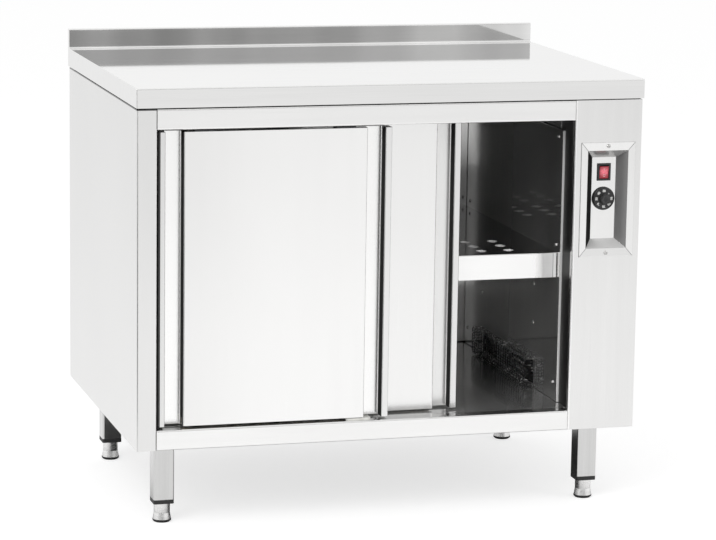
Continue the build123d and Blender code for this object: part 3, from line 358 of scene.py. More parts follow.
def door_steel(name, colour, dull, gap):
    """The door skins, with painted light and shade: one side wall of a folded grip is painted dark as shade,
    its other recessed faces are painted lighter, the folded edges and a band near the left are painted
    darker, and a grip's floor may be dull.

    gap is how far the painted shade of the gap beside the door reaches over its left edge.
    """
    low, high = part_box(name)

    def inside(t):
        return t.range(t.along("Y"), low.y + GRIP_START, low.y + GRIP_FULL, 0.0, 1.0)

    def deep(t):
        beside = t.range(t.along("X"), low.x + gap, low.x + gap + GAP_BLUR, GAP_PAINTED_SHADE, 0.0)
        return t.math("MAXIMUM", t.times(inside(t), t.range(t.normal("X"), -0.9, -0.6, 1.0, 0.0)), beside)

    def matt(t):
        return t.times(inside(t), t.range(t.facing("Y"), 0.9, 0.98, 0.0, dull))

    def tone(t):
        x = t.along("X")
        edge = t.math("MINIMUM", t.math("SUBTRACT", x, low.x), t.math("SUBTRACT", high.x, x))
        flat = t.times(t.range(edge, LIP_START, LIP_END, LIP_PAINTED_SHADE, 1.0),
                       t.soft(x, low.x + DOOR_SHADE_START, low.x + DOOR_SHADE_END, DOOR_SHADE, 1.0))
        return t.math("MAXIMUM", flat, t.times(inside(t), GRIP_FLOOR_PAINTED_LIGHT / colour))

    return steel(name + "_steel", colour, 0.22, "Z", 0.05, deep=deep, tone=tone, matt=matt)


# ---------------------------------------------------------------- finishes of the pocket and its switch
MOUTH_HALF_WIDTH, MOUTH_HALF_HEIGHT = 41.5 * MM, 96 * MM
MITRE_ACROSS, MITRE_ALONG = 0.764, 0.645            # the direction square to a mitred fold of the frame
MITRE_START, MITRE_END, MITRE_DARK = 0.2 * MM, 0.7 * MM, 0.75
SLOPE_START, SLOPE_FULL = 0.3, 0.6                  # a wall of the pocket turns this far along an axis
# painted shade on the pocket's right wall and top wall
RIGHT_WALL_PAINTED_SHADE, TOP_WALL_PAINTED_SHADE = 0.30, 0.75
RIGHT_WALL_DULL, LEVEL_WALL_DULL = 0.7, 0.6
LENS_CORE, LENS_EDGE = 2 * MM, 13 * MM
LENS_DARK, LENS_LIT = (0.30, 0.008, 0.02), (0.95, 0.20, 0.26)
LENS_GLOW = 0.35
SWIRL_SCALE, SWIRL_SHADES = 260.0, (0.75, 1.1)
LENS_LINE_SCALE, LENS_LINE_DEPTH = (900.0, 900.0, 60.0), 0.03 * MM


def pocket_painted_shade_and_folds(t):
    """Painted dark: painted shade on the wall of the pressed pocket that turns from the light, and dark lines
    on the mitred folds of its frame.
    """
    across = t.away(t.along("X"), (POCKET_LOW.x + POCKET_HIGH.x) / 2)
    along = t.away(t.along("Z"), (POCKET_LOW.z + POCKET_HIGH.z) / 2)
    off = t.away(t.times(t.math("SUBTRACT", across, MOUTH_HALF_WIDTH), MITRE_ACROSS),
                 t.times(t.math("SUBTRACT", along, MOUTH_HALF_HEIGHT), MITRE_ALONG))
    fold = t.times(t.range(off, MITRE_START, MITRE_END, MITRE_DARK, 0.0),
                   t.range(across, MOUTH_HALF_WIDTH - 0.3 * MM, MOUTH_HALF_WIDTH + 0.1 * MM, 0.0, 1.0))
    return t.math("MAXIMUM", fold, t.range(t.normal("X"), SLOPE_START, SLOPE_FULL, 0.0, 1.0))


def pocket_painted_wall_shade(t):
    """Painted shade: the right wall and the top wall of the pocket are painted darker than its rim and its
    floor.
    """
    return t.times(t.range(t.normal("X"), -SLOPE_FULL, -SLOPE_START, RIGHT_WALL_PAINTED_SHADE, 1.0),
                   t.range(t.normal("Z"), -SLOPE_FULL, -SLOPE_START, TOP_WALL_PAINTED_SHADE, 1.0))


def pocket_matt(t):
    """The walls of the pocket that turn up, down and left are blasted dull."""
    return t.math("MAXIMUM", t.range(t.facing("Z"), SLOPE_START, SLOPE_FULL, 0.0, LEVEL_WALL_DULL),
                  t.range(t.normal("X"), -SLOPE_FULL, -SLOPE_START, RIGHT_WALL_DULL, 0.0))


def lens_finish():
    """Red lens of the lit rocker, brightest over its lamp."""
    material, t = new_material("rocker_lens")
    place = t.place()
    away = t.add("ShaderNodeVectorMath", {0: place, 1: SWITCH_PLACE}, operation="DISTANCE").outputs["Value"]
    glow = t.soft(away, LENS_CORE, LENS_EDGE, 1.0, 0.0)
    swirl = t.spread(t.noise(place, SWIRL_SCALE, 3.0), *SWIRL_SHADES)
    colour = t.mix(1.0, t.mix(glow, rgb(*LENS_DARK), rgb(*LENS_LIT)), swirl, "MULTIPLY")
    lines = t.noise(place, LENS_LINE_SCALE, 2.0)
    surface(t, Base_Color=colour, Roughness=t.range(swirl, *SWIRL_SHADES, 0.14, 0.24), Emission_Color=colour,
            Emission_Strength=LENS_GLOW, Coat_Weight=0.5, Coat_Roughness=0.08,
            Normal=t.bump(lines, LENS_LINE_DEPTH))
    return material


# ---------------------------------------------------------------- finishes of the worktop and the body
TOP_DULL = 0.60
# painted reflection of the room on the front of the upstand: soft patches, darker toward the left
PATCH_SCALE, PATCH_SHADES, PATCH_LIMIT = (5.5, 0.01, 0.01), (0.66, 1.12), 1.13
UPSTAND_HALF, UPSTAND_SHADES = 0.45, (0.86, 1.1)    # the painted shades at its left and right end
UPSTAND_START, UPSTAND_FULL = 0.30, 0.32            # what lies behind these is the upstand
# painted shade: faces of the worktop that don't look up are a little darker
EDGE_TONE = 0.98
PANEL_SHADE_START, PANEL_SHADE_FULL, PANEL_SHADE = 0.8078, 0.8086, 0.12
# painted highlight on the column's folded edge beside the opening
COLUMN_EDGE_START, COLUMN_EDGE_END, COLUMN_EDGE_HIGHLIGHT = 2.5 * MM, 4.5 * MM, 1.22


def top_matt(t):
    """The flat of the worktop is duller than its edges and its upstand."""
    return t.range(t.normal("Z"), 0.8, 0.98, 0.0, TOP_DULL)


def top_painted_reflection(t):
    """Painted reflection: the front of the upstand is painted with the room's reflection in soft patches, and
    darker toward the left; faces that don't look up get a slight painted shade.
    """
    place = t.place()
    patches = t.range(t.noise(place, PATCH_SCALE, 1.5), 0.34, 0.66, *PATCH_SHADES)
    patches = t.times(patches, t.range(t.axes(place)["X"], -UPSTAND_HALF, UPSTAND_HALF, *UPSTAND_SHADES))
    patches = t.math("MINIMUM", patches, PATCH_LIMIT)
    upstand = t.times(t.front_face(), t.range(t.axes(place)["Y"], UPSTAND_START, UPSTAND_FULL, 0.0, 1.0))
    shade = t.math("ADD", t.times(upstand, t.math("SUBTRACT", patches, 1.0)), 1.0)
    return t.times(t.range(t.normal("Z"), 0.3, 0.98, EDGE_TONE, 1.0), shade)


def panel_painted_shade(t):
    """Painted shade: the top of a side is painted dark for the shade of the worktop."""
    return t.range(t.along("Z"), PANEL_SHADE_START, PANEL_SHADE_FULL, 1.0, PANEL_SHADE)


def column_painted_highlight(t):
    """Painted highlight: the folded edge beside the opening is painted the brightest."""
    return t.range(t.along("X"), COLUMN_LEFT + COLUMN_EDGE_START, COLUMN_LEFT + COLUMN_EDGE_END,
                   COLUMN_EDGE_HIGHLIGHT, 1.0)


# ---------------------------------------------------------------- finishes inside the oven
DUCT_HAZE_START, DUCT_HAZE_END = 60 * MM, 320 * MM          # from the front of the duct panel
DUCT_HAZES = (0.07, 0.34)
LINER_HAZE_START, LINER_HAZE_END = -20 * MM, 40 * MM        # from the underside of the shelf
LINER_HAZES = (0.50, 0.2)
SHELF_LIP_START, SHELF_LIP_END = -46 * MM, -26 * MM         # from the right end of the shelf
SHELF_LIP_HAZES = (0.2, 1.0)
# painted shade on the top of the shelf
SHELF_TOP_PAINTED_SHADE = 0.5
SEAM_PLACE = -8 * MM                                        # from the right end of the shelf
SEAM_START, SEAM_END, SEAM_DARK = 0.3 * MM, 0.7 * MM, 0.7


def duct_matt(t):
    """The duct panel's front flange is dull, and its flat is duller toward the rear."""
    haze = t.range(t.along("Y"), DUCT_LOW.y + DUCT_HAZE_START, DUCT_LOW.y + DUCT_HAZE_END, *DUCT_HAZES)
    return t.math("MAXIMUM", t.front_face(), haze)


def liner_matt(t):
    """The liner is duller under the shelf, where the warm air blows."""
    return t.soft(t.along("Z"), SHELF_LOW.z + LINER_HAZE_START, SHELF_LOW.z + LINER_HAZE_END, *LINER_HAZES)


def shelf_matt(t):
    """The right end of the lip is blasted dull."""
    start, end = SHELF_HIGH.x + SHELF_LIP_START, SHELF_HIGH.x + SHELF_LIP_END
    return t.times(t.front_face(), t.range(t.along("X"), start, end, *SHELF_LIP_HAZES))


def shelf_painted_shade(t):
    """Painted shade: the top of the shelf is painted darker than its lip."""
    return t.range(t.normal("Z"), 0.3, 0.98, 1.0, SHELF_TOP_PAINTED_SHADE)


def shelf_seam(t):
    """Fold line near the right end of the shelf's lip."""
    line = t.range(t.away(t.along("X"), SHELF_HIGH.x + SEAM_PLACE), SEAM_START, SEAM_END, SEAM_DARK, 0.0)
    return t.times(line, t.range(t.facing("Y"), 0.8, 0.95, 0.0, 1.0))


# ---------------------------------------------------------------- which node has which finish
SATIN_TOP = steel("satin_top", 0.88, 0.045, "X", matt=top_matt, tone=top_painted_reflection)
SATIN_X = steel("satin_along", 0.90, 0.18, "X")
SATIN_Z = steel("satin_upright", 0.81, 0.22, "Z", tone=panel_painted_shade)
COLUMN = steel("satin_column", 0.82, 0.22, "Z", tone=column_painted_highlight)
DOOR = steel("satin_door", 0.90, 0.24, "Z", 0.07)
# the legs are painted darker than the other satin steel: painted shade under the cabinet
LEG = steel("satin_leg", 0.66, 0.16, "Z", 0.14)
LINER_Z = steel("liner_upright", 0.96, 0.08, "Z", 0.10, 0.10, matt=liner_matt)
LINER_Y = steel("liner_deep", 0.82, 0.14, "Y", 0.10, 0.10, metallic=0.86)
DUCT = steel("duct_steel", 0.92, 0.06, "Z", 0.10, 0.06, matt=duct_matt)
# the partition wall is painted near black: painted shade inside the cabinet
CHEEK = steel("cheek_steel", 0.075, 0.42, "Z", 0.10)
SHELF = steel("shelf_steel", 1.0, 0.08, "X", 0.06, 0.04, shelf_seam, shelf_painted_shade, shelf_matt)
RIM = steel("rim_steel", 0.98, 0.22, "Z", 0.05, metallic=0.4, fold=None)
POCKET = steel("pocket_steel", 0.86, 0.2, "Z", 0.06, 0.03, pocket_painted_shade_and_folds, pocket_painted_wall_shade, pocket_matt)
ZINC = plated("zinc", (0.62, 0.63, 0.64), 0.32)
SCREW = plated("screw_steel", (0.68, 0.675, 0.665), 0.2)
# the door track and the door hangers are painted dark: painted shade in the track under the top rail
TRACK = plated("track_aluminium", (0.20, 0.205, 0.21), 0.45, 120.0)
BRACKET = plated("bracket_steel", (0.10, 0.10, 0.105), 0.5)
IRON = plated("motor_iron", (0.16, 0.16, 0.165), 0.5)
HEATER = plated("heater_tube", (0.2, 0.18, 0.17), 0.45)
FIBRE = fibre_finish()
NYLON = plastic("nylon", (0.8, 0.8, 0.76), 0.42)
BLACK = plastic("black_plastic", (0.022, 0.022, 0.023), 0.38)
KNOB = plastic("knob_black", (0.018, 0.018, 0.018), 0.33)
# the ribs are painted lighter than the black of the knob they stand on: a painted highlight
RIB = plastic("rib_black", (0.10, 0.10, 0.10), 0.3)
RUBBER = plastic("rubber_black", (0.025, 0.025, 0.025), 0.6)
FOOT = foot_finish()
WIRE = wire_finish()
INK = plastic("dial_ink", (0.89, 0.89, 0.87), 0.5)
LENS = lens_finish()
FRONT_DOOR = door_steel("front_door_skin", 0.93, 0.0, 3.6 * MM)
REAR_DOOR = door_steel("rear_door_skin", 0.89, 0.35, 0.0)

FINISHES = (
    (SATIN_TOP, "worktop"),
    (SATIN_X, "top_rail bottom_rail"),
    (SATIN_Z, "left_side_panel right_side_panel rear_panel"),
    (COLUMN, "control_column"),
    (DOOR, "front_door_inner_panel rear_door_inner_panel"),
    (FRONT_DOOR, "front_door_skin"),
    (REAR_DOOR, "rear_door_skin"),
    (LEG, "leg_front_left leg_front_right leg_rear_left leg_rear_right"),
    (LINER_Z, "liner_left liner_back"),
    (DUCT, "duct_panel"),
    (CHEEK, "partition_wall"),
    (LINER_Y, "liner_floor liner_ceiling base_pan worktop_stiffeners"),
    (SHELF, "shelf"),
    (POCKET, "control_pocket"),
    (BRACKET, "front_door_hangers rear_door_hangers"),
    (ZINC, "blower_housing fan_wheel fan_shaft shelf_pegs thermostat_shaft"),
    (TRACK, "door_track"),
    (IRON, "fan_motor"),
    (HEATER, "heating_element"),
    (FIBRE, "insulation_left insulation_base front_door_core rear_door_core"),
    (NYLON, "front_door_roller_left front_door_roller_right rear_door_roller_left rear_door_roller_right "
            "door_guide track_stops terminal_block"),
    (BLACK, "switch_housing thermostat_body cable_gland"),
    (RUBBER, "leg_caps"),
    (FOOT, "foot_front_left foot_front_right foot_rear_left foot_rear_right"),
)


def dress_nodes():
    for material, names in FINISHES:
        for name in names.split():
            slots = nodes[name].data.materials
            slots.clear()
            slots.append(material)


# ---------------------------------------------------------------- mesh tools
SHARP_ANGLE = math.radians(32)
WIRE_SIDES, LINE_SIDES = 7, 6


def put(name, shape, body, material, replaces=()):
    """Makes a piece of a bmesh, with its finish, the body that it rides on and what it stands for."""
    mesh = bpy.data.meshes.new(name)
    bmesh.ops.recalc_face_normals(shape, faces=shape.faces)
    shape.to_mesh(mesh)
    shape.free()
    mesh.materials.append(material)
    mesh.shade_smooth()
    mesh.set_sharp_from_angle(angle=SHARP_ANGLE)
    piece = bpy.data.objects.new(name, mesh)
    scene.collection.objects.link(piece)
    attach(piece, body)
    if replaces:
        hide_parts(*replaces)


def in_mm(points):
    """Pairs of millimetres in metres."""
    return [(first * MM, second * MM) for first, second in points]


def spaced(start, end, count):
    """Evenly spaced values from a start to an end."""
    return [start + (end - start) * step / (count - 1) for step in range(count)]


def around(turns):
    """A direction in the plane of the front, so many turns from the right over the top."""
    angle = 2 * math.pi * turns
    return Vector((math.cos(angle), 0, math.sin(angle)))


def turn_to(axis):
    """Turns the Z axis to another one."""
    return Vector((0, 0, 1)).rotation_difference(Vector(axis)).to_matrix()


def add_tube(shape, path, radius, sides=WIRE_SIDES, closed=False):
    """A round wire along a path of points."""
    points = [Vector(point) for point in path]
    count = len(points)
    rings = []
    side = None
    for index, point in enumerate(points):
        before = points[index - 1] if index or closed else point
        after = points[(index + 1) % count] if index < count - 1 or closed else point
        way = (after - before).normalized()
        if side is None:
            side = way.orthogonal().normalized()
        side = (side - way * side.dot(way)).normalized()
        other = way.cross(side)
        turns = [2 * math.pi * step / sides for step in range(sides)]
        rings.append([shape.verts.new(point + radius * (math.cos(a) * side + math.sin(a) * other))
                      for a in turns])
    pairs = list(zip(rings, rings[1:]))
    if closed:
        pairs.append((rings[-1], rings[0]))
    for first, second in pairs:
        for step in range(sides):
            after = (step + 1) % sides
            shape.faces.new((first[step], first[after], second[after], second[step]))
    if not closed:
        shape.faces.new(reversed(rings[0]))
        shape.faces.new(rings[-1])


def add_lathe(shape, profile, centre, axis, segments, flute=None):
    """A turned form of a profile of (radius, distance along the axis), and its rings.

    flute gives what is added to a radius at an angle.
    """
    turn = turn_to(axis)
    rings = []
    for radius, reach in profile:
        if radius == 0:
            rings.append([shape.verts.new(Vector(centre) + turn @ Vector((0, 0, reach)))])
            continue
        ring = []
        for step in range(segments):
            angle = 2 * math.pi * step / segments
            wide = radius + (flute(radius, angle) if flute else 0.0)
            ring.append(shape.verts.new(Vector(centre) + turn @ Vector(
                (wide * math.cos(angle), wide * math.sin(angle), reach))))
        rings.append(ring)
    for first, second in zip(rings, rings[1:]):
        for step in range(segments):
            after = (step + 1) % segments
            if len(first) == 1:
                shape.faces.new((first[0], second[after], second[step]))
            elif len(second) == 1:
                shape.faces.new((first[step], first[after], second[0]))
            else:
                shape.faces.new((first[step], first[after], second[after], second[step]))
    return rings


# ---------------------------------------------------------------- screws
HEAD_RADIUS, HEAD_HEIGHT, SHANK_RADIUS = 3.5 * MM, 2.2 * MM, 2 * MM
SCREW_SEGMENTS = 32
HEAD_DOME = ((1.0, 0.0), (1.0, 0.35), (0.92, 0.72), (0.76, 0.93), (0.62, 1.0))      # shares of radius, height
HEAD_TOP = (0.54, 0.46, 0.38, 0.3, 0.22, 0.14, 0.0)                                 # shares of the radius
CROSS_HALF_WIDTH, CROSS_DEPTH = 0.15, 0.6
DUCT_SCREWS_Y, DUCT_SCREWS_Z = (-248 * MM, 304 * MM), (236.5 * MM, 513 * MM, 728 * MM)
DUCT_SCREW_LENGTH, BEZEL_SCREW_LENGTH = 9 * MM, 8.9 * MM


def add_screw(shape, centre, axis, length):
    """Pan head screw with a cross recess: centre is on its seat, and axis points out of the head."""
    profile = [(0.0, -length), (SHANK_RADIUS, -length), (SHANK_RADIUS, 0.0)]
    profile += [(part * HEAD_RADIUS, rise * HEAD_HEIGHT) for part, rise in HEAD_DOME]
    profile += [(part * HEAD_RADIUS, HEAD_HEIGHT) for part in HEAD_TOP]
    back = turn_to(axis).transposed()
    for ring in add_lathe(shape, profile, centre, axis, SCREW_SEGMENTS)[-len(HEAD_TOP):]:
        for vert in ring:
            flat = back @ (vert.co - Vector(centre))
            if min(abs(flat.x), abs(flat.y)) < CROSS_HALF_WIDTH * HEAD_RADIUS:
                vert.co -= CROSS_DEPTH * HEAD_HEIGHT * Vector(axis)


def add_screws():
    shape = bmesh.new()
    for y in DUCT_SCREWS_Y:
        for z in DUCT_SCREWS_Z:
            add_screw(shape, (DUCT_LOW.x, y, z), (-1, 0, 0), DUCT_SCREW_LENGTH)
    put("duct_screws", shape, "cabinet", SCREW, ["duct_panel_screws"])
    shape = bmesh.new()
    low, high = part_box("pocket_screws")
    for z in (low.z + HEAD_RADIUS, high.z - HEAD_RADIUS):
        add_screw(shape, ((low.x + high.x) / 2, low.y + HEAD_HEIGHT, z), (0, -1, 0), BEZEL_SCREW_LENGTH)
    put("bezel_screws", shape, "cabinet", SCREW, ["pocket_screws"])


# ---------------------------------------------------------------- rims and inserts of the oven's holes
GROUP_INSET_X, GROUP_INSET_Y = 143.6 * MM, 92.5 * MM        # from the shelf's edges to a group's middle hole
HOLE_PITCH_X, HOLE_PITCH_Y = 56 * MM, 51.5 * MM
RIM_PROFILE = in_mm(((10.6, 0.02), (10.5, 0.3), (9.8, 0.45), (9.2, 0.15), (8.9, -0.8), (8.7, -5.2),
                     (9.1, -5.2), (9.3, -1.0), (9.4, 0.02), (10.6, 0.02)))
RIM_SEGMENTS = 28
PEG_FRONT_INSET, PEG_REAR_INSET = 136 * MM, 121.6 * MM      # from the shelf's front and rear edge
PEG_HEIGHTS = (133 * MM, 212.5 * MM)                        # of the empty holes, from the oven's floor
INSERT_PROFILE = in_mm(((3.1, 0.02), (4.7, 0.02), (4.7, 0.45), (4.3, 0.75), (3.4, 0.75), (3.1, 0.5),
                        (3.1, 0.02)))
INSERT_SEGMENTS = 24


def add_shelf_rims():
    """Rolled rims of the air holes, four groups of nine."""
    shape = bmesh.new()
    for x in (SHELF_LOW.x + GROUP_INSET_X, SHELF_HIGH.x - GROUP_INSET_X):
        for y in (SHELF_LOW.y + GROUP_INSET_Y, SHELF_HIGH.y - GROUP_INSET_Y):
            for column in (-1, 0, 1):
                for row in (-1, 0, 1):
                    centre = (x + HOLE_PITCH_X * column, y + HOLE_PITCH_Y * row, SHELF_HIGH.z)
                    add_lathe(shape, RIM_PROFILE, centre, (0, 0, 1), RIM_SEGMENTS)
    put("shelf_rims", shape, "cabinet", RIM)


def add_peg_inserts():
    """Flanged inserts in the empty peg holes on both sides of the oven."""
    shape = bmesh.new()
    for y in (SHELF_LOW.y + PEG_FRONT_INSET, SHELF_HIGH.y - PEG_REAR_INSET):
        for height in PEG_HEIGHTS:
            z = OVEN_FLOOR + height
            add_lathe(shape, INSERT_PROFILE, (DUCT_LOW.x, y, z), (-1, 0, 0), INSERT_SEGMENTS)
            add_lathe(shape, INSERT_PROFILE, (LINER_LEFT_FACE, y, z), (1, 0, 0), INSERT_SEGMENTS)
    put("peg_inserts", shape, "cabinet", SCREW)


# ---------------------------------------------------------------- warm air guard
WIRE_RADIUS, HOOP_RADIUS = 0.7 * MM, 0.8 * MM
WIRE_BEND, BEND_POINTS = 4 * MM, 5
LONG_WIRES, CAP_WIRES, HOOPS = 10, 4, 24
WALL_GAP = 0.2 * MM
CAP_INSET, CAP_END = 5 * MM, 1 * MM


def quarter_bend(centre, start, plane):
    """Points of a quarter bend that starts at an angle in the plane of two axes."""
    points = []
    for angle in spaced(start, start + math.pi / 2, BEND_POINTS):
        point = Vector(centre)
        point[plane[0]] += WIRE_BEND * math.cos(angle)
        point[plane[1]] += WIRE_BEND * math.sin(angle)
        points.append(point)
    return points


def add_guard():
    """Wire cage over the warm air outlet: long wires turned in to the wall at both ends, and hoops."""
    low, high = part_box("mesh_guard")
    face, wall = low.x + HOOP_RADIUS, high.x - WALL_GAP
    front, rear = low.y + HOOP_RADIUS, high.y - HOOP_RADIUS
    top, bottom = high.z - HOOP_RADIUS, low.z + HOOP_RADIUS
    bend = face + WIRE_BEND
    shape = bmesh.new()
    for z in spaced(bottom, top, LONG_WIRES):
        path = [Vector((wall, rear, z))]
        path += quarter_bend((bend, rear - WIRE_BEND, z), math.pi / 2, (0, 1))
        path += quarter_bend((bend, front + WIRE_BEND, z), math.pi, (0, 1))
        path.append(Vector((wall, front, z)))
        add_tube(shape, path, WIRE_RADIUS)
    for x in spaced(face + CAP_INSET, wall - CAP_END, CAP_WIRES):
        for z in (top, bottom):
            add_tube(shape, [(x, front, z), (x, rear, z)], WIRE_RADIUS)
    for y in spaced(front, rear, HOOPS):
        path = [Vector((wall, y, top))]
        path += quarter_bend((bend, y, top - WIRE_BEND), math.pi / 2, (0, 2))
        path += quarter_bend((bend, y, bottom + WIRE_BEND), math.pi, (0, 2))
        path.append(Vector((wall, y, bottom)))
        add_tube(shape, path, HOOP_RADIUS)
    put("guard_wires", shape, "cabinet", WIRE, ["mesh_guard"])


# ---------------------------------------------------------------- thermostat knob
KNOB_X, KNOB_Z = (KNOB_LOW.x + KNOB_HIGH.x) / 2, (KNOB_LOW.z + KNOB_HIGH.z) / 2
KNOB_BASE, KNOB_TIP = KNOB_HIGH.y, KNOB_LOW.y
KNOB_RADIUS, KNOB_HEIGHT = (KNOB_HIGH.x - KNOB_LOW.x) / 2, KNOB_BASE - KNOB_TIP
KNOB_BORE = 3.1 * MM
SKIRT_HEIGHT = 4 * MM
KNOB_FACE = KNOB_BASE - SKIRT_HEIGHT
KNOB_SEGMENTS = 200
# The radius of the skirt is given from the knob's own, and the heights from its base, its face and its tip.
SKIRT_PROFILE = in_mm(((-0.6, 0.0), (0.0, 0.6), (0.0, 1.2), (-1.2, 2.9), (-2.6, 3.7), (-4.0, 4.0)))
GRIP_PROFILE = in_mm(((11.6, 0.0), (10.6, 0.4), (10.3, 1.5)))
CAP_PROFILE = in_mm(((9.7, -2.0), (9.2, -0.8), (8.2, -0.2), (7.0, 0.0), (6.4, -0.4), (3.6, -0.8),
                     (0.0, -0.9)))
FLUTES, FLUTE_DEPTH = 20, 0.4 * MM
FLUTE_INNER, FLUTE_OUTER = 8.5 * MM, 11.5 * MM
KNOB_NUMBERS = ("30", "40", "50", "60", "70", "80", "90")
NUMBER_STEPS = 8                                            # the seven numbers and the stop mark
NUMBER_CIRCLE, NUMBER_LIFT = 15.1 * MM, 0.07 * MM
NUMBER_SIZE, NUMBER_WEIGHT, NUMBER_DEPTH = 6 * MM, 0.42 * MM, 0.06 * MM
STOP_CIRCLE, STOP_LIFT = 13.5 * MM, 0.1 * MM
STOP_RADIUS, STOP_LINE, RING_POINTS = 1.1 * MM, 0.3 * MM, 24
RIB_PROFILE = in_mm(((4.6, 0.75), (7.2, 0.05), (9.0, 1.3)))    # from the axis, and under the tip
RIB_RADIUS = 0.36 * MM


def knob_flute(radius, angle):
    return FLUTE_DEPTH * math.cos(FLUTES * angle) if FLUTE_INNER <= radius <= FLUTE_OUTER else 0.0


def add_knob_body():
    """Bevelled skirt, and a fluted grip with a dished cap."""
    profile = [(KNOB_BORE, 0.0)]
    profile += [(KNOB_RADIUS + radius, height) for radius, height in SKIRT_PROFILE]
    profile += [(radius, SKIRT_HEIGHT + height) for radius, height in GRIP_PROFILE]
    profile += [(radius, KNOB_HEIGHT + height) for radius, height in CAP_PROFILE]
    shape = bmesh.new()
    add_lathe(shape, profile, (KNOB_X, KNOB_BASE, KNOB_Z), (0, -1, 0), KNOB_SEGMENTS, knob_flute)
    put("dial_knob", shape, "thermostat_knob", KNOB, ["thermostat_knob"])


def add_knob_numbers():
    """The numbers stand round the skirt: the first is on top, and the others follow to the left."""
    for index, text in enumerate(KNOB_NUMBERS):
        letters = bpy.data.curves.new("dial_number_" + text, "FONT")
        letters.body = text
        letters.size = NUMBER_SIZE
        letters.offset = NUMBER_WEIGHT
        letters.extrude = NUMBER_DEPTH
        letters.align_x = "CENTER"
        letters.align_y = "CENTER"
        letters.materials.append(INK)
        sign = bpy.data.objects.new("dial_number_" + text, letters)
        turns = index / NUMBER_STEPS
        place = Vector((KNOB_X, KNOB_FACE - NUMBER_LIFT, KNOB_Z)) + NUMBER_CIRCLE * around(0.25 + turns)
        upright = Matrix.Rotation(math.pi / 2, 4, "X")
        spin = Matrix.Rotation(2 * math.pi * turns, 4, "Z")
        sign.matrix_world = Matrix.Translation(place) @ upright @ spin
        scene.collection.objects.link(sign)
        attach(sign, "thermostat_knob")


def add_stop_mark():
    """A small ring in the place that the numbers leave free."""
    stop = Vector((KNOB_X, KNOB_FACE - STOP_LIFT, KNOB_Z)) + STOP_CIRCLE * around(1 / NUMBER_STEPS)
    ring = [stop + STOP_RADIUS * around(step / RING_POINTS) for step in range(RING_POINTS)]
    shape = bmesh.new()
    add_tube(shape, ring, STOP_LINE, LINE_SIDES, True)
    put("dial_stop_mark", shape, "thermostat_knob", INK)


def add_knob_ribs():
    """Ribs over the edge of the cap, one between each two flutes."""
    shape = bmesh.new()
    for step in range(FLUTES):
        way = around((step + 0.5) / FLUTES)
        path = [Vector((KNOB_X, KNOB_TIP + depth, KNOB_Z)) + out * way for out, depth in RIB_PROFILE]
        add_tube(shape, path, RIB_RADIUS, LINE_SIDES)
    put("dial_ribs", shape, "thermostat_knob", RIB)


# ---------------------------------------------------------------- lit switch
ROCKER_HALF_WIDTH, ROCKER_HALF_HEIGHT = 9.2 * MM, 12.1 * MM
ROCKER_TURN = Matrix.Rotation(math.radians(8), 3, "X")
ROCKER_END_RISE, ROCKER_MIDDLE_RISE, ROCKER_DISH = 6 * MM, 4.2 * MM, 0.5 * MM
SIDE_RIM_START, SIDE_RIM_DROP = 0.88, 0.9 * MM
END_RIM_START, END_RIM_DROP = 0.93, 0.7 * MM
ROCKER_ROWS, ROCKER_COLUMNS = 23, 13
ROOT_DEPTH, ROOT_TAPER = 3.5 * MM, 0.7
MARK_RISE = 5.35 * MM
OFF_HEIGHT, OFF_RADIUS, OFF_LINE = -6.2 * MM, 2.1 * MM, 0.32 * MM
ON_BOTTOM, ON_TOP, ON_LINE = 4.2 * MM, 8.4 * MM, 0.36 * MM


def on_rocker(across, rise, up):
    """A place given in the tilted rocker's own directions."""
    return ROCKER_AXIS + ROCKER_TURN @ Vector((across, -rise, up))


def lens_place(u, v):
    """A place on the lens at shares of its half width and half height: two dished halves, a rounded rim."""
    level = ROCKER_MIDDLE_RISE + (ROCKER_END_RISE - ROCKER_MIDDLE_RISE) * abs(v)
    dish = ROCKER_DISH * (1 - (2 * abs(v) - 1) ** 2) * (1 - u ** 2)
    rim = (SIDE_RIM_DROP * max(0.0, abs(u) - SIDE_RIM_START) / (1 - SIDE_RIM_START)
           + END_RIM_DROP * max(0.0, abs(v) - END_RIM_START) / (1 - END_RIM_START))
    return on_rocker(u * ROCKER_HALF_WIDTH, level - dish - rim, v * ROCKER_HALF_HEIGHT)


def add_rocker():
    """Lens of the lit rocker, closed by walls that taper to its root."""
    shape = bmesh.new()
    rows = [[shape.verts.new(lens_place(u, v)) for u in spaced(-1, 1, ROCKER_COLUMNS)]
            for v in spaced(-1, 1, ROCKER_ROWS)]
    for first, second in zip(rows, rows[1:]):
        for step in range(ROCKER_COLUMNS - 1):
            shape.faces.new((first[step], first[step + 1], second[step + 1], second[step]))
    edge = ([row[0] for row in rows] + rows[-1][1:] + [row[-1] for row in reversed(rows[:-1])]
            + list(reversed(rows[0][1:-1])))
    root = []
    for vert in edge:
        local = ROCKER_TURN.inverted() @ (vert.co - ROCKER_AXIS)
        root.append(shape.verts.new(on_rocker(local.x, -ROOT_DEPTH, local.z * ROOT_TAPER)))
    for step in range(len(edge)):
        after = (step + 1) % len(edge)
        shape.faces.new((edge[step], edge[after], root[after], root[step]))
    shape.faces.new(root)
    put("rocker_lens", shape, "switch_rocker", LENS, ["switch_rocker"])


def add_rocker_marks():
    """Raised marks: a ring for off on the lower half, and a bar for on above it."""
    ring = []
    for step in range(RING_POINTS):
        way = OFF_RADIUS * around(step / RING_POINTS)
        ring.append(on_rocker(way.x, MARK_RISE, OFF_HEIGHT + way.z))
    bar = [on_rocker(0, MARK_RISE, ON_BOTTOM), on_rocker(0, MARK_RISE, ON_TOP)]
    shape = bmesh.new()
    add_tube(shape, ring, OFF_LINE, LINE_SIDES, True)
    add_tube(shape, bar, ON_LINE, LINE_SIDES)
    put("rocker_marks", shape, "switch_rocker", INK)


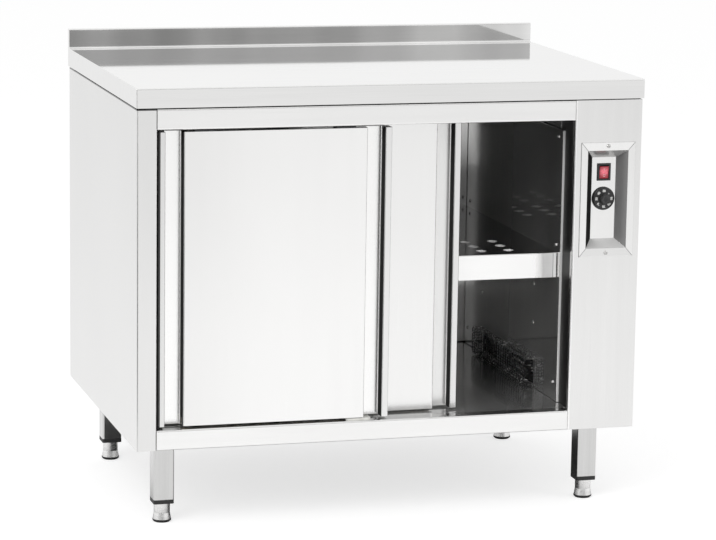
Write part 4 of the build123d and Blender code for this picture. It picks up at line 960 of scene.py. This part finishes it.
# ---------------------------------------------------------------- studio
DIM_WAY = Vector((-0.28, -0.96, 0.0))
DIM_EDGE, DIM_CORE, DIM_LEVEL = 0.62, 0.93, 0.20
DIM_RISE, DIM_FALL = (0.0, 0.12), (0.32, 0.5)               # heights at which the dim band starts and ends
ROOM_LIGHT = 0.62

FLOOR_HALF = 12.0
# UNLIT_COLOUR is painted shade, seen only in gloss: the floor's unlit side and the shade under the cabinet
FLOOR_COLOUR, UNLIT_COLOUR = 0.55, 0.10
SPECKLE_SCALE = 40.0
FLOOR_GLOW, FLOOR_GLOSS_GLOW = 0.65, 0.58
UNLIT_X = (-0.75, -0.35)                                    # the unlit side lies to the left of these,
UNLIT_REAR, UNLIT_FRONT = (-1.3, -0.8), (-4.6, -3.2)        # in front of the first two and behind the others
UNDER_X, UNDER_Y = (0.40, 0.55), (0.24, 0.40)               # half the width and depth of the cabinet's shade

LAMP_SIZE, LAMP_AIM = 2.6, (0.0, 0.0, 0.45)
LAMPS = (("key", (-2.6, -2.8, 3.2), 4.0), ("fill", (3.4, -2.4, 2.4), 1.0))      # name, place and radiance


def make_world():
    """White all round. In the gloss of the metal, the room is dimmer on the side that is left unlit."""
    world = bpy.data.worlds.new("studio")
    world.use_nodes = True
    scene.world = world
    t = Tree(world.node_tree)
    path = t.add("ShaderNodeLightPath").outputs
    way = t.add("ShaderNodeTexCoord").outputs["Generated"]
    toward = t.add("ShaderNodeVectorMath", {0: way, 1: DIM_WAY}, operation="DOT_PRODUCT").outputs["Value"]
    aside = t.soft(toward, DIM_EDGE, DIM_CORE, 0.0, 1.0)
    height = t.axes(way)["Z"]
    raised = t.times(t.soft(height, *DIM_RISE, 0.0, 1.0), t.soft(height, *DIM_FALL, 1.0, 0.0))
    gloss = t.range(t.times(aside, raised), 0.0, 1.0, 1.0, DIM_LEVEL)
    shown = t.math("MAXIMUM", path["Is Camera Ray"], path["Is Transmission Ray"])
    bright = t.math("MAXIMUM", shown, t.times(path["Is Glossy Ray"], gloss))
    strength = t.math("MAXIMUM", bright, t.times(path["Is Diffuse Ray"], ROOM_LIGHT))
    back = t.add("ShaderNodeBackground", {"Color": rgb(1.0), "Strength": strength})
    t.add("ShaderNodeOutputWorld", {"Surface": back.outputs[0]})


def floor_paint():
    """Pale paint that keeps the shadow of the cabinet.

    It is white to the camera. In gloss it is white too, but for painted shade: its unlit side and the shade
    under the cabinet are painted dark for gloss only.
    """
    material, t = new_material("floor_paint")
    place = t.place()
    speckle = t.noise(place, SPECKLE_SCALE, 3.0)
    base = t.mix(1.0, rgb(FLOOR_COLOUR), t.spread(speckle, 0.97, 1.0), "MULTIPLY")
    paint = t.add("ShaderNodeBsdfDiffuse", {"Color": base})
    path = t.add("ShaderNodeLightPath").outputs
    x, y = t.axes(place)["X"], t.axes(place)["Y"]
    unlit = t.times(t.soft(x, *UNLIT_X, 1.0, 0.0),
                    t.times(t.soft(y, *UNLIT_REAR, 1.0, 0.0), t.soft(y, *UNLIT_FRONT, 0.0, 1.0)))
    under = t.times(t.soft(t.math("ABSOLUTE", x), *UNDER_X, 1.0, 0.0),
                    t.soft(t.math("ABSOLUTE", y), *UNDER_Y, 1.0, 0.0))
    shown = t.math("MAXIMUM", path["Is Camera Ray"], path["Is Transmission Ray"])
    strength = t.math("MAXIMUM", t.times(shown, FLOOR_GLOW), t.times(path["Is Glossy Ray"], FLOOR_GLOSS_GLOW))
    glow = t.add("ShaderNodeEmission", {"Color": rgb(1.0), "Strength": strength})
    both = t.add("ShaderNodeAddShader", {0: paint.outputs[0], 1: glow.outputs[0]})
    shade = t.add("ShaderNodeBsdfDiffuse", {"Color": rgb(UNLIT_COLOUR)})
    dim = t.times(path["Is Glossy Ray"], t.math("MAXIMUM", unlit, under))
    seen = t.add("ShaderNodeMixShader", {0: dim, 1: both.outputs[0], 2: shade.outputs[0]})
    t.add("ShaderNodeOutputMaterial", {"Surface": seen.outputs[0]})
    return material


def make_floor():
    mesh = bpy.data.meshes.new("floor")
    corners = [(-FLOOR_HALF, -FLOOR_HALF, 0), (FLOOR_HALF, -FLOOR_HALF, 0),
               (FLOOR_HALF, FLOOR_HALF, 0), (-FLOOR_HALF, FLOOR_HALF, 0)]
    mesh.from_pydata(corners, [], [(0, 1, 2, 3)])
    mesh.materials.append(floor_paint())
    floor = bpy.data.objects.new("floor", mesh)
    scene.collection.objects.link(floor)


def make_lamps():
    """Square soft lamps that aim at the middle of the cabinet."""
    for name, place, radiance in LAMPS:
        lamp = bpy.data.lights.new(name, "AREA")
        lamp.shape = "SQUARE"
        lamp.size = LAMP_SIZE
        lamp.energy = radiance * math.pi * LAMP_SIZE * LAMP_SIZE
        light = bpy.data.objects.new(name, lamp)
        way = Vector(LAMP_AIM) - Vector(place)
        light.matrix_world = Matrix.Translation(place) @ way.to_track_quat("-Z", "Y").to_matrix().to_4x4()
        scene.collection.objects.link(light)


# ---------------------------------------------------------------- all of it
make_camera()
make_world()
make_floor()
make_lamps()
dress_nodes()
add_screws()
add_shelf_rims()
add_peg_inserts()
add_guard()
add_knob_body()
add_knob_numbers()
add_stop_mark()
add_knob_ribs()
add_rocker()
add_rocker_marks()
scene.view_settings.view_transform = "Standard"
